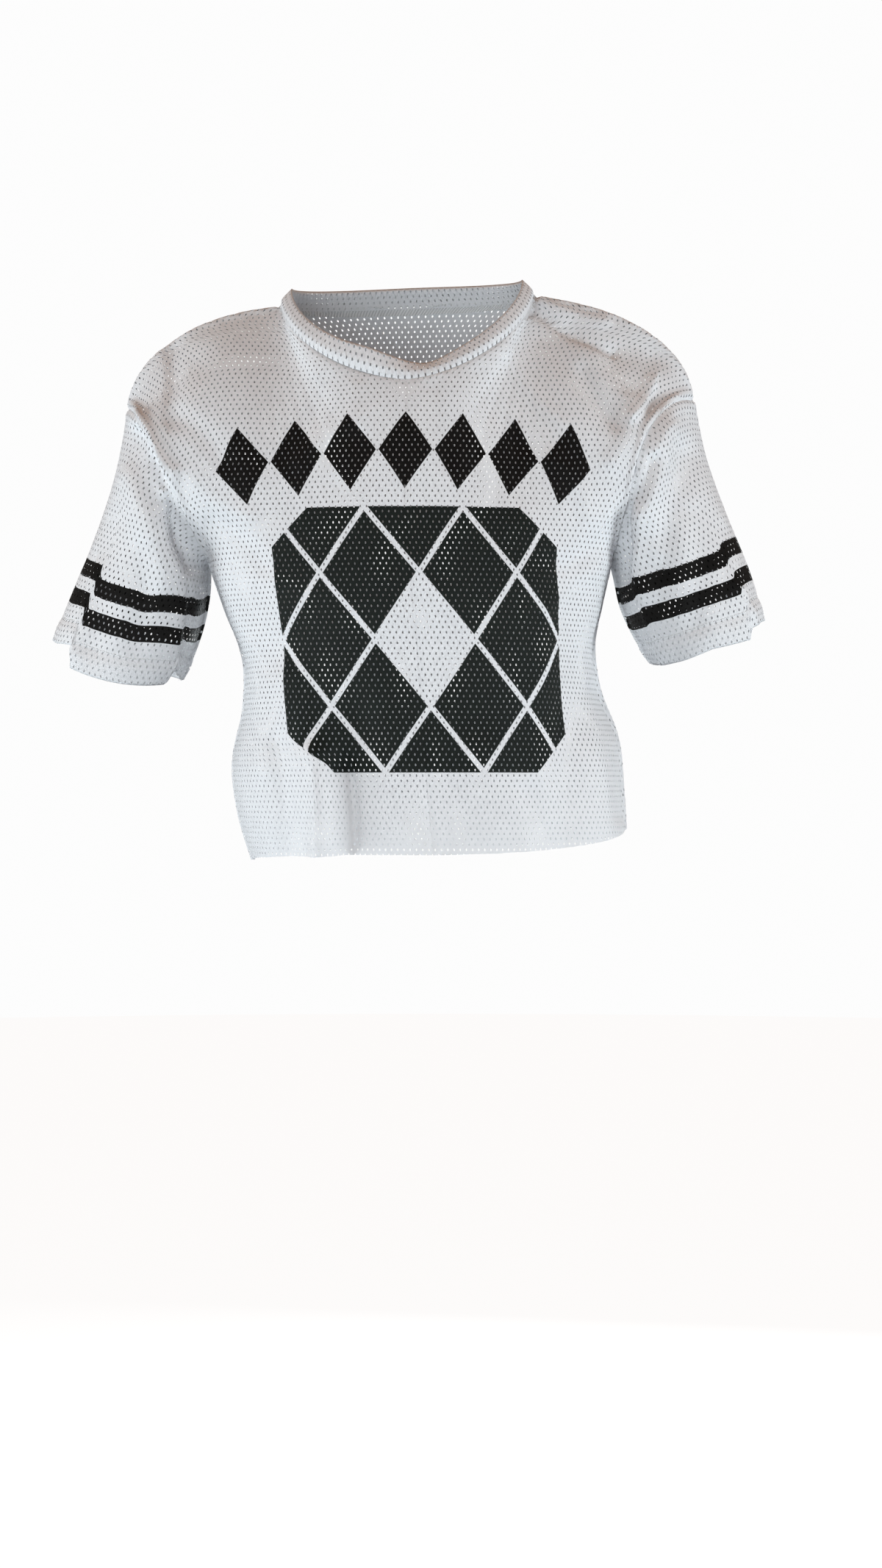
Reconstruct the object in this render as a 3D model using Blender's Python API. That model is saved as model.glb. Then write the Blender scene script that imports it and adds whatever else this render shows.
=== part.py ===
"""Mesh crop top, worn and hollow: front, back, two sleeves and a neckband.

Each piece is one open sheet of cloth, laid on its worn form and then extruded inwards to its wall.
Where two pieces meet at an outward corner their walls are mitred, so that they stay apart.
Sizes in the tables are millimetres; the objects are made in metres. X runs to the wearer's left,
Y to the wearer's back and Z up. The origin lies between the two high points of the shoulders.
"""

import math

import bmesh
import bpy
import numpy as np

MM = 0.001

# ---------------------------------------------------------------- cloth and seams

WALL = 1.2            # thickness of a cloth wall
BAND_WALL = 2.0       # the neckband is folded double
SEAM_GAP = 0.3        # space left between two pieces at a seam
ARMHOLE_GAP = 0.4     # the same at an armhole, where two bent edges meet
BAND_GAP = 0.5        # the same under the neckband, whose wall is thicker
MITRE_LIMIT = 0.6     # a mitred rim is at most the wall divided by this
BAND_WIDTH = 16.5     # neckband, from its seam to its folded edge

# ---------------------------------------------------------------- cut sizes, laid flat

TOP_WIDTH = 274       # half the width of a panel from tip to tip of the shoulders
NECK_WIDTH = 106      # half the width of the neckline
CHEST_WIDTH = 240     # half the width of a panel below the armholes
PANEL_LENGTH = 420    # front neckline to hem
SLEEVE_LENGTH = 205   # shoulder tip to cuff
NECK_SHARE = NECK_WIDTH / TOP_WIDTH

# ---------------------------------------------------------------- main points of the body, x and z

SIDES = {
    "right": {"sign": -1, "neck": (-107, -9), "tip": (-237, -97), "underarm": (-168, -226), "bow": 6},
    "left": {"sign": 1, "neck": (106, -1), "tip": (242, -89), "underarm": (171, -222), "bow": 24},
}

ARMHOLE_DEPTH = {"front": 68, "back": 70}       # how far an armhole stands before and behind its mid-line
ARMHOLE_SHARE = 0.48                            # share of a panel's side edge that is armhole

NECKLINE = {
    "front": {"depth": 79, "fall": 1.7, "reach": 86, "round": 2.15},
    "back": {"depth": -6, "fall": 2.0, "reach": 64, "round": 2.3},
}

# Side seams below the underarm: share of the way down, then x of each seam and how far it sits from Y = 0.
SIDE_SEAM = [
    ("down", "right", "left", "right_y", "left_y"),
    (0.00, -168, 171, 0, 0),
    (0.08, -161, 167.5, 0, 0),
    (0.16, -154, 164, 0, 0),
    (0.32, -139, 157.5, 1, -1),
    (0.48, -138, 162, 1, -3),
    (0.67, -147, 177, 0, -6),
    (0.85, -142, 181, 0, -9),
    (1.00, -131, 183, 0, -12),
]

HEM = {"right": -477, "centre_front": -470, "centre_back": -470, "left": -450}

# Side view of the body on its centre line: height, x of the centre line, front and back depth.
PROFILE = [
    ("z", "centre", "front", "back", "square"),
    (6, 0, 40, 64, 2.0),
    (-40, 0, 66, 86, 2.0),
    (-79, 0, 86, 98, 2.1),
    (-120, 0, 104, 105, 2.3),
    (-160, 0, 116, 109, 2.5),
    (-200, -1, 122, 110, 2.6),
    (-250, 3, 124, 107, 2.6),
    (-310, 9, 120, 103, 2.5),
    (-395, 15, 118, 107, 2.4),
    (-478, 22, 121, 113, 2.4),
]

SHOULDER_SLOPE = 0.18                           # share of the shoulder's fall that is a straight slope
SHOULDER_ROUND = {"front": 190, "back": 230}    # how full the cloth stands over the shoulder,
SHOULDER_START = 0.3                            # from this share of the way across,
SHOULDER_CROWN = 1.5                            # how narrow its crown is across,
SHOULDER_FADE = 8                               # and how fast it dies out down the panel
BOW_PEAK = 1.3                                  # largest value of the curve that an armhole's bow follows
YOKE_FADE = 3.0                                 # how fast the neckline's shape dies out down the panel
NECK_SPREAD = 0.4                               # how far the neckline's corners are rounded off,
NECK_SPREAD_DEPTH = 0.17                        # and how far down the panel that takes
BAND_LEAN = {"side": 52, "front": -10}          # degrees that the band leans back from level, at the side
                                                # of the neck, and how much more in front
MAX_RISE = 0.95                                 # an oval's end stays this far short of its own depth
SPREAD_WEIGHTS = [(-1.0, 0.1), (-0.6, 0.2), (-0.2, 0.2), (0.2, 0.2), (0.6, 0.2), (1.0, 0.1)]

# ---------------------------------------------------------------- sleeves, from armhole to cuff

SLEEVE = {
    "right": [
        ("down", "outer_x", "outer_z", "inner_x", "inner_z", "front", "back", "front_drop"),
        (0.00, -237, -97, -168, -226, 68, 70, 0),
        (0.25, -246, -150, -168.5, -251, 64, 66, 2),
        (0.50, -262, -199, -173, -277, 59, 61, 8),
        (0.75, -281, -246, -181, -302, 55, 56, 15),
        (1.00, -300, -291, -191, -325, 51, 52, 21),
    ],
    "left": [
        ("down", "outer_x", "outer_z", "inner_x", "inner_z", "front", "back", "front_drop"),
        (0.00, 242, -89, 171, -222, 68, 70, 0),
        (0.25, 252, -137, 175.5, -241, 64, 66, 1),
        (0.50, 269, -185, 181, -265, 59, 61, 3),
        (0.75, 288, -232, 192, -289, 55, 56, 6),
        (1.00, 302, -277, 206, -312, 51, 52, 9),
    ],
}

# ---------------------------------------------------------------- largest folds

# A fold runs from one point to another, as seen from the front (or from behind on the back),
# as a ridge where its height is above zero and as a trough where it is below.
FOLD_COLUMNS = ("piece", "from_x", "from_z", "to_x", "to_z", "width", "height")
FOLDS = [
    ("front", -182, -62, -222, -96, 17, -4),
    ("front", 142, -30, 205, -52, 15, -6),
    ("front", 118, -42, 168, -110, 14, -4),
    ("front", 178, -60, 205, -92, 18, -7),
    ("front", -150, -215, -120, -300, 22, -5),
    ("front", -95, -330, -62, -478, 16, 6),
    ("front", -40, -360, -30, -478, 17, -5),
    ("front", 60, -390, 62, -478, 20, 4),
    ("front", 140, -260, 128, -470, 20, -6),
    ("front", 92, -205, 108, -330, 26, 4),
    ("back", -120, -60, -165, -190, 24, -6),
    ("back", 118, -50, 172, -185, 22, -6),
    ("back", -62, -250, -88, -475, 22, 8),
    ("back", 10, -290, 4, -475, 20, -7),
    ("back", 78, -240, 96, -475, 24, 8),
    ("back", -128, -300, -120, -475, 18, -6),
    ("sleeve_right", -212, -150, -185, -212, 12, -6),
    ("sleeve_right", -226, -160, -198, -245, 14, 5),
    ("sleeve_right", -250, -200, -262, -300, 14, -3),
    ("sleeve_left", 214, -120, 192, -190, 13, 6),
    ("sleeve_left", 232, -140, 205, -235, 13, -6),
    ("sleeve_left", 205, -225, 190, -262, 11, 4),
]
FOLD_FADE = 14        # folds die out this far from a seam, so that the pieces still meet
SLEEVE_FOLD_EDGE = 1.5    # how sharply a sleeve's folds end at the edge of its front, where they aren't seen

# ---------------------------------------------------------------- mesh density

NECK_CELLS = 22           # along the neckline of each panel, and so along half the neckband
SHOULDER_CELLS = 13       # along each shoulder seam
ARMHOLE_CELLS = 16        # along half of an armhole, and so round half a sleeve
SIDE_CELLS = 16           # along each side seam
SLEEVE_CELLS = 12         # along each sleeve
BAND_CELLS = 3            # across the neckband
ARC_STEPS = 64            # steps in which the length of a row's arc is measured

CLOTH = {"colour": (0.86, 0.86, 0.88, 1.0), "roughness": 0.8}


def column(table, name):
    """One named column of a table as an array."""
    place = table[0].index(name)
    return np.array([row[place] for row in table[1:]], dtype=float)


def smooth(at, stations, values):
    """A smooth curve through a table's stations, read at any place between them."""
    order = np.argsort(stations)
    stations, values = stations[order], values[order]
    slopes = np.gradient(values, stations)
    at = np.clip(at, stations[0], stations[-1])
    k = np.clip(np.searchsorted(stations, at, side="right") - 1, 0, len(stations) - 2)
    span = stations[k + 1] - stations[k]
    t = (at - stations[k]) / span
    return ((2 * t**3 - 3 * t**2 + 1) * values[k] + (t**3 - 2 * t**2 + t) * span * slopes[k]
            + (3 * t**2 - 2 * t**3) * values[k + 1] + (t**3 - t**2) * span * slopes[k + 1])


def read(table, name, at, by):
    """A named column, read smoothly at a value of another column."""
    return smooth(at, column(table, by), column(table, name))


def signed_power(value, power):
    return np.sign(value) * np.abs(value) ** power


def arch(across, power):
    """An arch that is 1 in the middle and 0 at both ends; 2 makes it a half circle."""
    return (1 - np.abs(across) ** power) ** (1 / power)


def points(x, y, z):
    return np.stack(np.broadcast_arrays(x, y, z), axis=-1)


# ---------------------------------------------------------------- seam lines

def shoulder_line(side, share):
    """The shoulder seam, from the neck (0) over the round of the shoulder to its tip (1)."""
    (neck_x, neck_z), (tip_x, tip_z) = SIDES[side]["neck"], SIDES[side]["tip"]
    turn = share * math.pi / 2
    fall = SHOULDER_SLOPE * share + (1 - SHOULDER_SLOPE) * (1 - np.cos(turn))
    return points(neck_x + (tip_x - neck_x) * np.sin(turn), 0.0, neck_z + (tip_z - neck_z) * fall)


def armhole_bow(side, turn):
    """How far an armhole bends towards the middle of the body, most of it above its half-way."""
    bend = np.abs(np.sin(turn)) * (1 + np.cos(turn))
    return -SIDES[side]["sign"] * SIDES[side]["bow"] * bend / BOW_PEAK


def armhole_line(side, face, share):
    """Half of an armhole, from the shoulder tip (0) to the underarm (1)."""
    (tip_x, tip_z), (low_x, low_z) = SIDES[side]["tip"], SIDES[side]["underarm"]
    turn = share * math.pi
    along = (1 - np.cos(turn)) / 2
    x = tip_x + (low_x - tip_x) * along + armhole_bow(side, turn)
    y = ARMHOLE_DEPTH[face] * np.sin(turn) * (-1 if face == "front" else 1)
    z = tip_z + (low_z - tip_z) * along
    return points(x, y, z)


def side_seam_line(side, share):
    """A side seam, from the underarm (0) to the hem (1)."""
    low_z = SIDES[side]["underarm"][1]
    z = low_z + (HEM[side] - low_z) * share
    return points(read(SIDE_SEAM, side, share, "down"), read(SIDE_SEAM, side + "_y", share, "down"), z)


def side_edge(side, face, down):
    """The whole side edge of a panel: its armhole, then its side seam."""
    arm = armhole_line(side, face, np.clip(down / ARMHOLE_SHARE, 0, 1))
    seam = side_seam_line(side, np.clip((down - ARMHOLE_SHARE) / (1 - ARMHOLE_SHARE), 0, 1))
    return np.where((down < ARMHOLE_SHARE)[..., None], arm, seam)


def neckline(face, across):
    """The seam between a panel and the neckband; across runs from -1 to 1 between the shoulders."""
    cut = NECKLINE[face]
    (right_x, right_z), (left_x, left_z) = SIDES["right"]["neck"], SIDES["left"]["neck"]
    half = (across + 1) / 2
    facing = -1 if face == "front" else 1
    return points(right_x + (left_x - right_x) * half,
                  facing * cut["reach"] * arch(across, cut["round"]),
                  right_z + (left_z - right_z) * half - cut["depth"] * arch(across, cut["fall"]))


# ---------------------------------------------------------------- worn form of each piece

def top_edge(face, across):
    """The top of a panel: shoulder seam, neckline, shoulder seam."""
    in_neck = neckline(face, np.sin(np.clip(across / NECK_SHARE, -1, 1) * math.pi / 2))
    out = np.clip((np.abs(across) - NECK_SHARE) / (1 - NECK_SHARE), 0, 1)
    edge = np.where((across < 0)[..., None], shoulder_line("right", out), shoulder_line("left", out))
    return np.where((np.abs(across) < NECK_SHARE)[..., None], in_neck, edge)


def centre_line(face, down):
    """The middle of a panel, from the neckline to the hem."""
    start = neckline(face, np.zeros_like(down))
    hem = HEM["centre_" + face]
    z = start[..., 2] + (hem - start[..., 2]) * down
    facing = -1 if face == "front" else 1
    return points(read(PROFILE, "centre", z, "z"), facing * read(PROFILE, face, z, "z"), z)


def oval(turn, reach, depth, square):
    """A point on a squared oval; a square of 2 is an ellipse."""
    return reach * signed_power(np.cos(turn), 2 / square), depth * signed_power(np.sin(turn), 2 / square)


def girth_row(face, across, down):
    """A row round the body: an oval arc from the middle to the side edge, even in arc length."""
    middle = centre_line(face, down)
    square = read(PROFILE, "square", middle[..., 2], "z")
    row = np.zeros(across.shape + (3,))
    for side, sign in (("right", -1), ("left", 1)):
        edge = side_edge(side, face, down)
        rise = np.clip(edge[..., 1] / middle[..., 1], -MAX_RISE, MAX_RISE)
        start = np.arcsin(signed_power(rise, square / 2))
        reach = (edge[..., 0] - middle[..., 0]) / np.cos(start) ** (2 / square)
        share = np.abs(across)
        turn = even_turn(start, reach, middle[..., 1], square, share)
        x, y = oval(turn, reach, middle[..., 1], square)
        z = middle[..., 2] + (edge[..., 2] - middle[..., 2]) * share**2
        here = (np.sign(across) == sign) | ((across == 0) & (sign == 1))
        row = np.where(here[..., None], points(x + middle[..., 0], y, z), row)
    return row


def even_turn(start, reach, depth, square, share, steps=ARC_STEPS):
    """The turn on an oval whose arc from the middle is the given share of its whole length."""
    t = np.linspace(0, 1, steps)
    turns = math.pi / 2 + (start[..., None] - math.pi / 2) * t
    x, y = oval(turns, reach[..., None], depth[..., None], square[..., None])
    length = np.cumsum(np.hypot(np.diff(x), np.diff(y)), axis=-1)
    length = np.concatenate([np.zeros_like(start[..., None]), length], axis=-1) / length[..., -1:]
    at = np.empty_like(share)
    for index in np.ndindex(share.shape):
        at[index] = np.interp(share[index], length[index], t)
    return math.pi / 2 + (start - math.pi / 2) * at


def yoke_shift(face, across):
    """How far the cut top edge of a panel stands from a plain row round the shoulders."""
    return top_edge(face, across) - girth_row(face, across, np.zeros_like(across))


def panel_form(face, across, down):
    """Worn form of the front or back before its folds."""
    spread = NECK_SPREAD * (1 - np.exp(-down / NECK_SPREAD_DEPTH)) * (1 - np.abs(across))
    shift = sum(weight * yoke_shift(face, across + spread * offset) for offset, weight in SPREAD_WEIGHTS)
    fade = (1 - down) ** YOKE_FADE
    shoulder = np.clip((np.abs(across) - SHOULDER_START) / (1 - SHOULDER_START), 0, 1)
    crown = np.sin(math.pi * shoulder) ** SHOULDER_CROWN
    lift = SHOULDER_ROUND[face] * crown * down * (1 - down) ** SHOULDER_FADE
    return girth_row(face, across, down) + shift * fade[..., None] + points(0.0, 0.0, lift)


def sleeve_form(side, turn, down):
    """Worn form of a sleeve; turn 0 is the outside of the arm, a quarter the front, a half the underarm."""
    table = SLEEVE[side]
    value = {name: read(table, name, down, "down") for name in table[0][1:]}
    angle = turn * 2 * math.pi
    across = (1 - np.cos(angle)) / 2
    front = np.clip(np.sin(angle), 0, 1)
    back = np.clip(-np.sin(angle), 0, 1)
    bow = armhole_bow(side, angle) * (1 - down) ** 2
    x = value["outer_x"] + (value["inner_x"] - value["outer_x"]) * across + bow
    y = value["back"] * back - value["front"] * front
    z = value["outer_z"] + (value["inner_z"] - value["outer_z"]) * across - value["front_drop"] * front
    return points(x, y, z)


def band_form(around, up):
    """Worn form of the neckband; around 0 is the right shoulder, a quarter the front, a half the left."""
    across = -np.cos(around * 2 * math.pi)
    front = around <= 0.5
    seam = np.where(front[..., None], neckline("front", across), neckline("back", across))
    lean = np.radians(BAND_LEAN["side"] + BAND_LEAN["front"] * np.sin(around * 2 * math.pi))
    inward = -seam * np.array([1.0, 1.0, 0.0])
    inward /= np.linalg.norm(inward, axis=-1, keepdims=True)
    rise = inward * np.cos(lean)[..., None] + np.array([0.0, 0.0, 1.0]) * np.sin(lean)[..., None]
    return seam + rise * (up * BAND_WIDTH)[..., None]


# ---------------------------------------------------------------- folds

def fold_height(piece, place):
    """Height of all the folds of a piece at each of its points."""
    total = np.zeros(place.shape[:-1])
    for row in FOLDS:
        fold = dict(zip(FOLD_COLUMNS, row))
        if fold["piece"] != piece:
            continue
        start = np.array([fold["from_x"], fold["from_z"]], dtype=float)
        along = np.array([fold["to_x"], fold["to_z"]]) - start
        offset = place[..., [0, 2]] - start
        share = offset @ along / (along @ along)
        nearest = np.clip(share, 0, 1)
        away = np.linalg.norm(offset - nearest[..., None] * along, axis=-1)
        total += fold["height"] * np.exp(-((away / fold["width"]) ** 2))
    return total


def seam_fade(distance):
    """0 at a seam and 1 well away from it."""
    t = np.clip(distance / FOLD_FADE, 0, 1)
    return t * t * (3 - 2 * t)


# ---------------------------------------------------------------- objects

def cloth_material(name):
    material = bpy.data.materials.new(name)
    material.use_nodes = True
    shader = material.node_tree.nodes["Principled BSDF"]
    shader.inputs["Base Color"].default_value = CLOTH["colour"]
    shader.inputs["Roughness"].default_value = CLOTH["roughness"]
    shader.inputs["Metallic"].default_value = 0.0
    return material


def unit(vector):
    return vector / np.maximum(np.linalg.norm(vector, axis=-1, keepdims=True), 1e-9)


def along_rows(place, closed):
    """Direction along the rows of a grid at each of its points; a closed row runs on into itself."""
    if closed:
        return np.roll(place, -1, axis=-2) - np.roll(place, 1, axis=-2)
    return np.gradient(place, axis=-2)


def grid_normals(place, closed):
    return unit(np.cross(along_rows(place, closed), np.gradient(place, axis=0)))


def seam_edges(place, closed):
    """Index of each seam edge of a piece and of the line of points next to it; the last row is free."""
    edges = [(np.s_[0, :], np.s_[1, :])]
    if not closed:
        edges += [(np.s_[:, 0], np.s_[:, 1]), (np.s_[:, -1], np.s_[:, -2])]
    return edges


def into_piece(place, closed):
    """Directions from each seam point into its own piece, square to the seam; nothing elsewhere."""
    total = np.zeros_like(place)
    for edge, beside in seam_edges(place, closed):
        line = place[edge]
        along = unit(along_rows(line, closed))
        into = place[beside] - line
        into = into - (into * along).sum(axis=-1, keepdims=True) * along
        total[edge] += unit(into)
    return total


def wall_offsets(pieces):
    """For each piece, how far its inner face stands from its outer one, mitred at outward seams."""
    found = {}
    for name, piece in pieces.items():
        offset = piece["normal"] * piece["wall"]
        for index in zip(*np.nonzero(np.any(piece["into"] != 0, axis=-1))):
            own = piece["normal"][index]
            meeting = [own]
            for other_name, other in pieces.items():
                if other_name == name:
                    continue
                near = np.linalg.norm(other["place"] - piece["place"][index], axis=-1) < SEAM_GAP / 3
                meeting += [normal for normal in other["normal"][near] if normal @ piece["into"][index] <= 0]
            middle = unit(np.sum(meeting, axis=0))
            spread = max(np.mean([normal @ middle for normal in meeting]), MITRE_LIMIT)
            offset[index] = middle * piece["wall"] / spread
        found[name] = offset
    return found


def wall_object(name, piece, offset, collection):
    """A sheet laid through a piece's points (mm) and extruded to its inner face."""
    place = piece["place"] + piece["into"] * piece["trim"]
    if piece["closed"]:
        place = np.concatenate([place, place[:, :1]], axis=1)
        offset = np.concatenate([offset, offset[:, :1]], axis=1)
    rows, columns = place.shape[0] - 1, place.shape[1] - 1
    bm = bmesh.new()
    inward = bm.verts.layers.float_vector.new("inward")
    bmesh.ops.create_grid(bm, x_segments=columns, y_segments=rows, size=1.0)
    for vert in bm.verts:
        i = round((vert.co.y + 1) / 2 * rows)
        j = round((vert.co.x + 1) / 2 * columns)
        vert.co = place[i, j] * MM
        vert[inward] = -offset[i, j] * MM
    bmesh.ops.remove_doubles(bm, verts=bm.verts, dist=0.01 * MM)
    bmesh.ops.triangulate(bm, faces=bm.faces, quad_method="SHORT_EDGE")
    wall = bmesh.ops.extrude_face_region(bm, geom=bm.faces[:], use_keep_orig=True)["geom"]
    for vert in (item for item in wall if isinstance(item, bmesh.types.BMVert)):
        vert.co += vert[inward]
    bm.verts.layers.float_vector.remove(inward)
    bmesh.ops.recalc_face_normals(bm, faces=bm.faces)
    mesh = bpy.data.meshes.new(name)
    bm.to_mesh(mesh)
    bm.free()
    mesh.materials.append(cloth_material(name))
    mesh.shade_smooth()
    collection.objects.link(bpy.data.objects.new(name, mesh))


def stations(*stretches):
    """Stations along an edge, from stretches of (start, end, cells) that follow each other."""
    parts = [np.linspace(start, end, cells + 1)[:-1] for start, end, cells in stretches]
    return np.concatenate(parts + [[stretches[-1][1]]])


def piece_of(place, closed, wall=WALL, trim=SEAM_GAP / 2):
    return {"place": place, "closed": closed, "wall": wall, "trim": trim,
            "normal": grid_normals(place, closed), "into": into_piece(place, closed)}


def panel_piece(face):
    across = stations((-1, -NECK_SHARE, SHOULDER_CELLS), (-NECK_SHARE, NECK_SHARE, NECK_CELLS),
                      (NECK_SHARE, 1, SHOULDER_CELLS))
    down = stations((0, ARMHOLE_SHARE, ARMHOLE_CELLS), (ARMHOLE_SHARE, 1, SIDE_CELLS))
    if face == "front":
        across = across[::-1]
    across, down = np.meshgrid(across, down)
    place = panel_form(face, across, down)
    from_side = (1 - np.abs(across)) * CHEST_WIDTH
    height = fold_height(face, place) * seam_fade(from_side) * seam_fade(down * PANEL_LENGTH)
    return piece_of(place + grid_normals(place, False) * height[..., None], False)


def sleeve_piece(side):
    turn = np.arange(2 * ARMHOLE_CELLS) / (2 * ARMHOLE_CELLS)
    if side == "right":
        turn = turn[::-1]
    turn, down = np.meshgrid(turn, stations((0, 1, SLEEVE_CELLS)))
    place = sleeve_form(side, turn, down)
    seen = np.clip(np.sin(turn * 2 * math.pi) * SLEEVE_FOLD_EDGE, 0, 1)
    height = fold_height("sleeve_" + side, place) * seam_fade(down * SLEEVE_LENGTH) * seen
    return piece_of(place + grid_normals(place, True) * height[..., None], True,
                    trim=ARMHOLE_GAP - SEAM_GAP / 2)


def band_piece():
    around = np.arange(2 * NECK_CELLS) / (2 * NECK_CELLS)
    around, up = np.meshgrid(around, stations((0, 1, BAND_CELLS)))
    return piece_of(band_form(around, up), True, BAND_WALL, BAND_GAP - SEAM_GAP / 2)


def main():
    for item in list(bpy.data.objects):
        bpy.data.objects.remove(item, do_unlink=True)
    collection = bpy.data.collections.new("mesh_crop_top")
    bpy.context.scene.collection.children.link(collection)
    pieces = {
        "front": panel_piece("front"),
        "back": panel_piece("back"),
        "sleeve_right": sleeve_piece("right"),
        "sleeve_left": sleeve_piece("left"),
        "neckband": band_piece(),
    }
    offsets = wall_offsets(pieces)
    for name, piece in pieces.items():
        wall_object(name, piece, offsets[name], collection)


main()
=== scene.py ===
# %% [markdown]
# # A mesh crop top
#
# This lesson dresses a plain solid model of a short, boxy football-style top. The solids give the
# size, the worn shape and the seams. What is missing is the cloth itself: a white polyester net with
# thousands of small oval holes, a raw hem, turned cuffs, a folded neckband and a print.
#
# The model comes in as a fixed frame. Nothing in it is moved; each new piece stands in for one solid.

import math
from functools import partial

import bpy
import numpy as np
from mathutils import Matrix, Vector


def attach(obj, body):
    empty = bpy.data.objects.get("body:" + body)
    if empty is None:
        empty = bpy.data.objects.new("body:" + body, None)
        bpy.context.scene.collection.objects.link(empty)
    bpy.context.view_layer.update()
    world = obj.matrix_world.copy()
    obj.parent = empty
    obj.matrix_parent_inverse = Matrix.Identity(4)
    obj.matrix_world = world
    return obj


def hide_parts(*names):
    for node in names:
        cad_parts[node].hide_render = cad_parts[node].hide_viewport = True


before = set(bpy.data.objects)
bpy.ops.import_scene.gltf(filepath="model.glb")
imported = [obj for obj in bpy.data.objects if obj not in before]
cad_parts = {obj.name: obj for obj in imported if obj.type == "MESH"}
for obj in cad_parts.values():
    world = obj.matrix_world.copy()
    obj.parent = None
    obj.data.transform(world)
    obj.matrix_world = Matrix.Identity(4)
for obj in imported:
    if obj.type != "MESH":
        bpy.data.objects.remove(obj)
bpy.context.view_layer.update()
MM = 0.001
print("solids:", sorted(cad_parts))

# %% [markdown]
# ## Sizes
#
# The worn form is worked out from the same few sizes as the solids, in millimetres. X runs to the
# wearer's left, Y to the back and Z up, and the origin lies between the shoulders. Each table has a
# heading row, so that a value is read by its name.

# %% Sizes of the worn top
TOP_WIDTH = 274          # half the panel from shoulder tip to shoulder tip
NECK_WIDTH = 106         # half the neckline
NECK_SHARE = NECK_WIDTH / TOP_WIDTH
BAND_WIDTH = 16.5        # neckband from its seam to its folded edge

SIDES = {
    "right": {"sign": -1, "neck": (-107, -9), "tip": (-237, -97), "underarm": (-168, -226), "bow": 6},
    "left": {"sign": 1, "neck": (106, -1), "tip": (242, -89), "underarm": (171, -222), "bow": 24},
}
ARMHOLE_DEPTH = {"front": 68, "back": 70}
ARMHOLE_SHARE = 0.48
FACING = {"front": -1, "back": 1}    # which way along Y a panel looks
NECKLINE = {
    "front": {"depth": 79, "fall": 1.7, "reach": 86, "round": 2.15},
    "back": {"depth": -6, "fall": 2.0, "reach": 64, "round": 2.3},
}
SIDE_SEAM = [
    ("down", "right", "left", "right_y", "left_y"),
    (0.00, -168, 171, 0, 0),
    (0.08, -161, 167.5, 0, 0),
    (0.16, -154, 164, 0, 0),
    (0.32, -139, 157.5, 1, -1),
    (0.48, -138, 162, 1, -3),
    (0.67, -147, 177, 0, -6),
    (0.85, -142, 181, 0, -9),
    (1.00, -131, 183, 0, -12),
]
HEM = {"right": -477, "centre_front": -470, "centre_back": -470, "left": -450}
PROFILE = [
    ("z", "centre", "front", "back", "square"),
    (6, 0, 40, 64, 2.0),
    (-40, 0, 66, 86, 2.0),
    (-79, 0, 86, 98, 2.1),
    (-120, 0, 104, 105, 2.3),
    (-160, 0, 116, 109, 2.5),
    (-200, -1, 122, 110, 2.6),
    (-250, 3, 124, 107, 2.6),
    (-310, 9, 120, 103, 2.5),
    (-395, 15, 118, 107, 2.4),
    (-478, 22, 121, 113, 2.4),
]
SHOULDER_SLOPE = 0.18    # share of a shoulder's fall that is even; the rest gets ever steeper
SHOULDER_ROUND = {"front": 190, "back": 230}    # how strongly the cloth below the shoulder is lifted,
SHOULDER_START = 0.3     # from how far out, and how the lift rises and fades
SHOULDER_CROWN = 1.5
SHOULDER_FADE = 8
BOW_PEAK = 1.3           # brings the armhole's bow to its stated depth
YOKE_FADE = 3.0          # how fast the cut top edge fades out down the panel
NECK_SPREAD = 0.4        # how far sideways the neckline's shape is evened out below it
NECK_SPREAD_DEPTH = 0.17
MAX_RISE = 0.95          # keeps a side edge off the middle of its oval
SPREAD_WEIGHTS = [(-1.0, 0.1), (-0.6, 0.2), (-0.2, 0.2), (0.2, 0.2), (0.6, 0.2), (1.0, 0.1)]
SLEEVE = {
    "right": [
        ("down", "outer_x", "outer_z", "inner_x", "inner_z", "front", "back", "front_drop"),
        (0.00, -237, -97, -168, -226, 68, 70, 0),
        (0.25, -246, -150, -168.5, -251, 64, 66, 2),
        (0.50, -262, -199, -173, -277, 59, 61, 8),
        (0.75, -281, -246, -181, -302, 55, 56, 15),
        (1.00, -300, -291, -191, -325, 51, 52, 21),
    ],
    "left": [
        ("down", "outer_x", "outer_z", "inner_x", "inner_z", "front", "back", "front_drop"),
        (0.00, 242, -89, 171, -222, 68, 70, 0),
        (0.25, 252, -137, 175.5, -241, 64, 66, 1),
        (0.50, 269, -185, 181, -265, 59, 61, 3),
        (0.75, 288, -232, 192, -289, 55, 56, 6),
        (1.00, 302, -277, 206, -312, 51, 52, 9),
    ],
}

# %% [markdown]
# ## Folds
#
# Cloth that is pulled or pushed makes long soft ridges and troughs. The large ones are in the solids
# too; the finer ones are added here. Each bracket in a table is one fold, from one point to another as
# seen from the front, with how far its middle bends sideways, how wide it is to the left and to the
# right of that walk, and how high it stands. A height below zero is a trough, and a narrow side is a
# sharp one, as where cloth laps over cloth.

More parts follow.
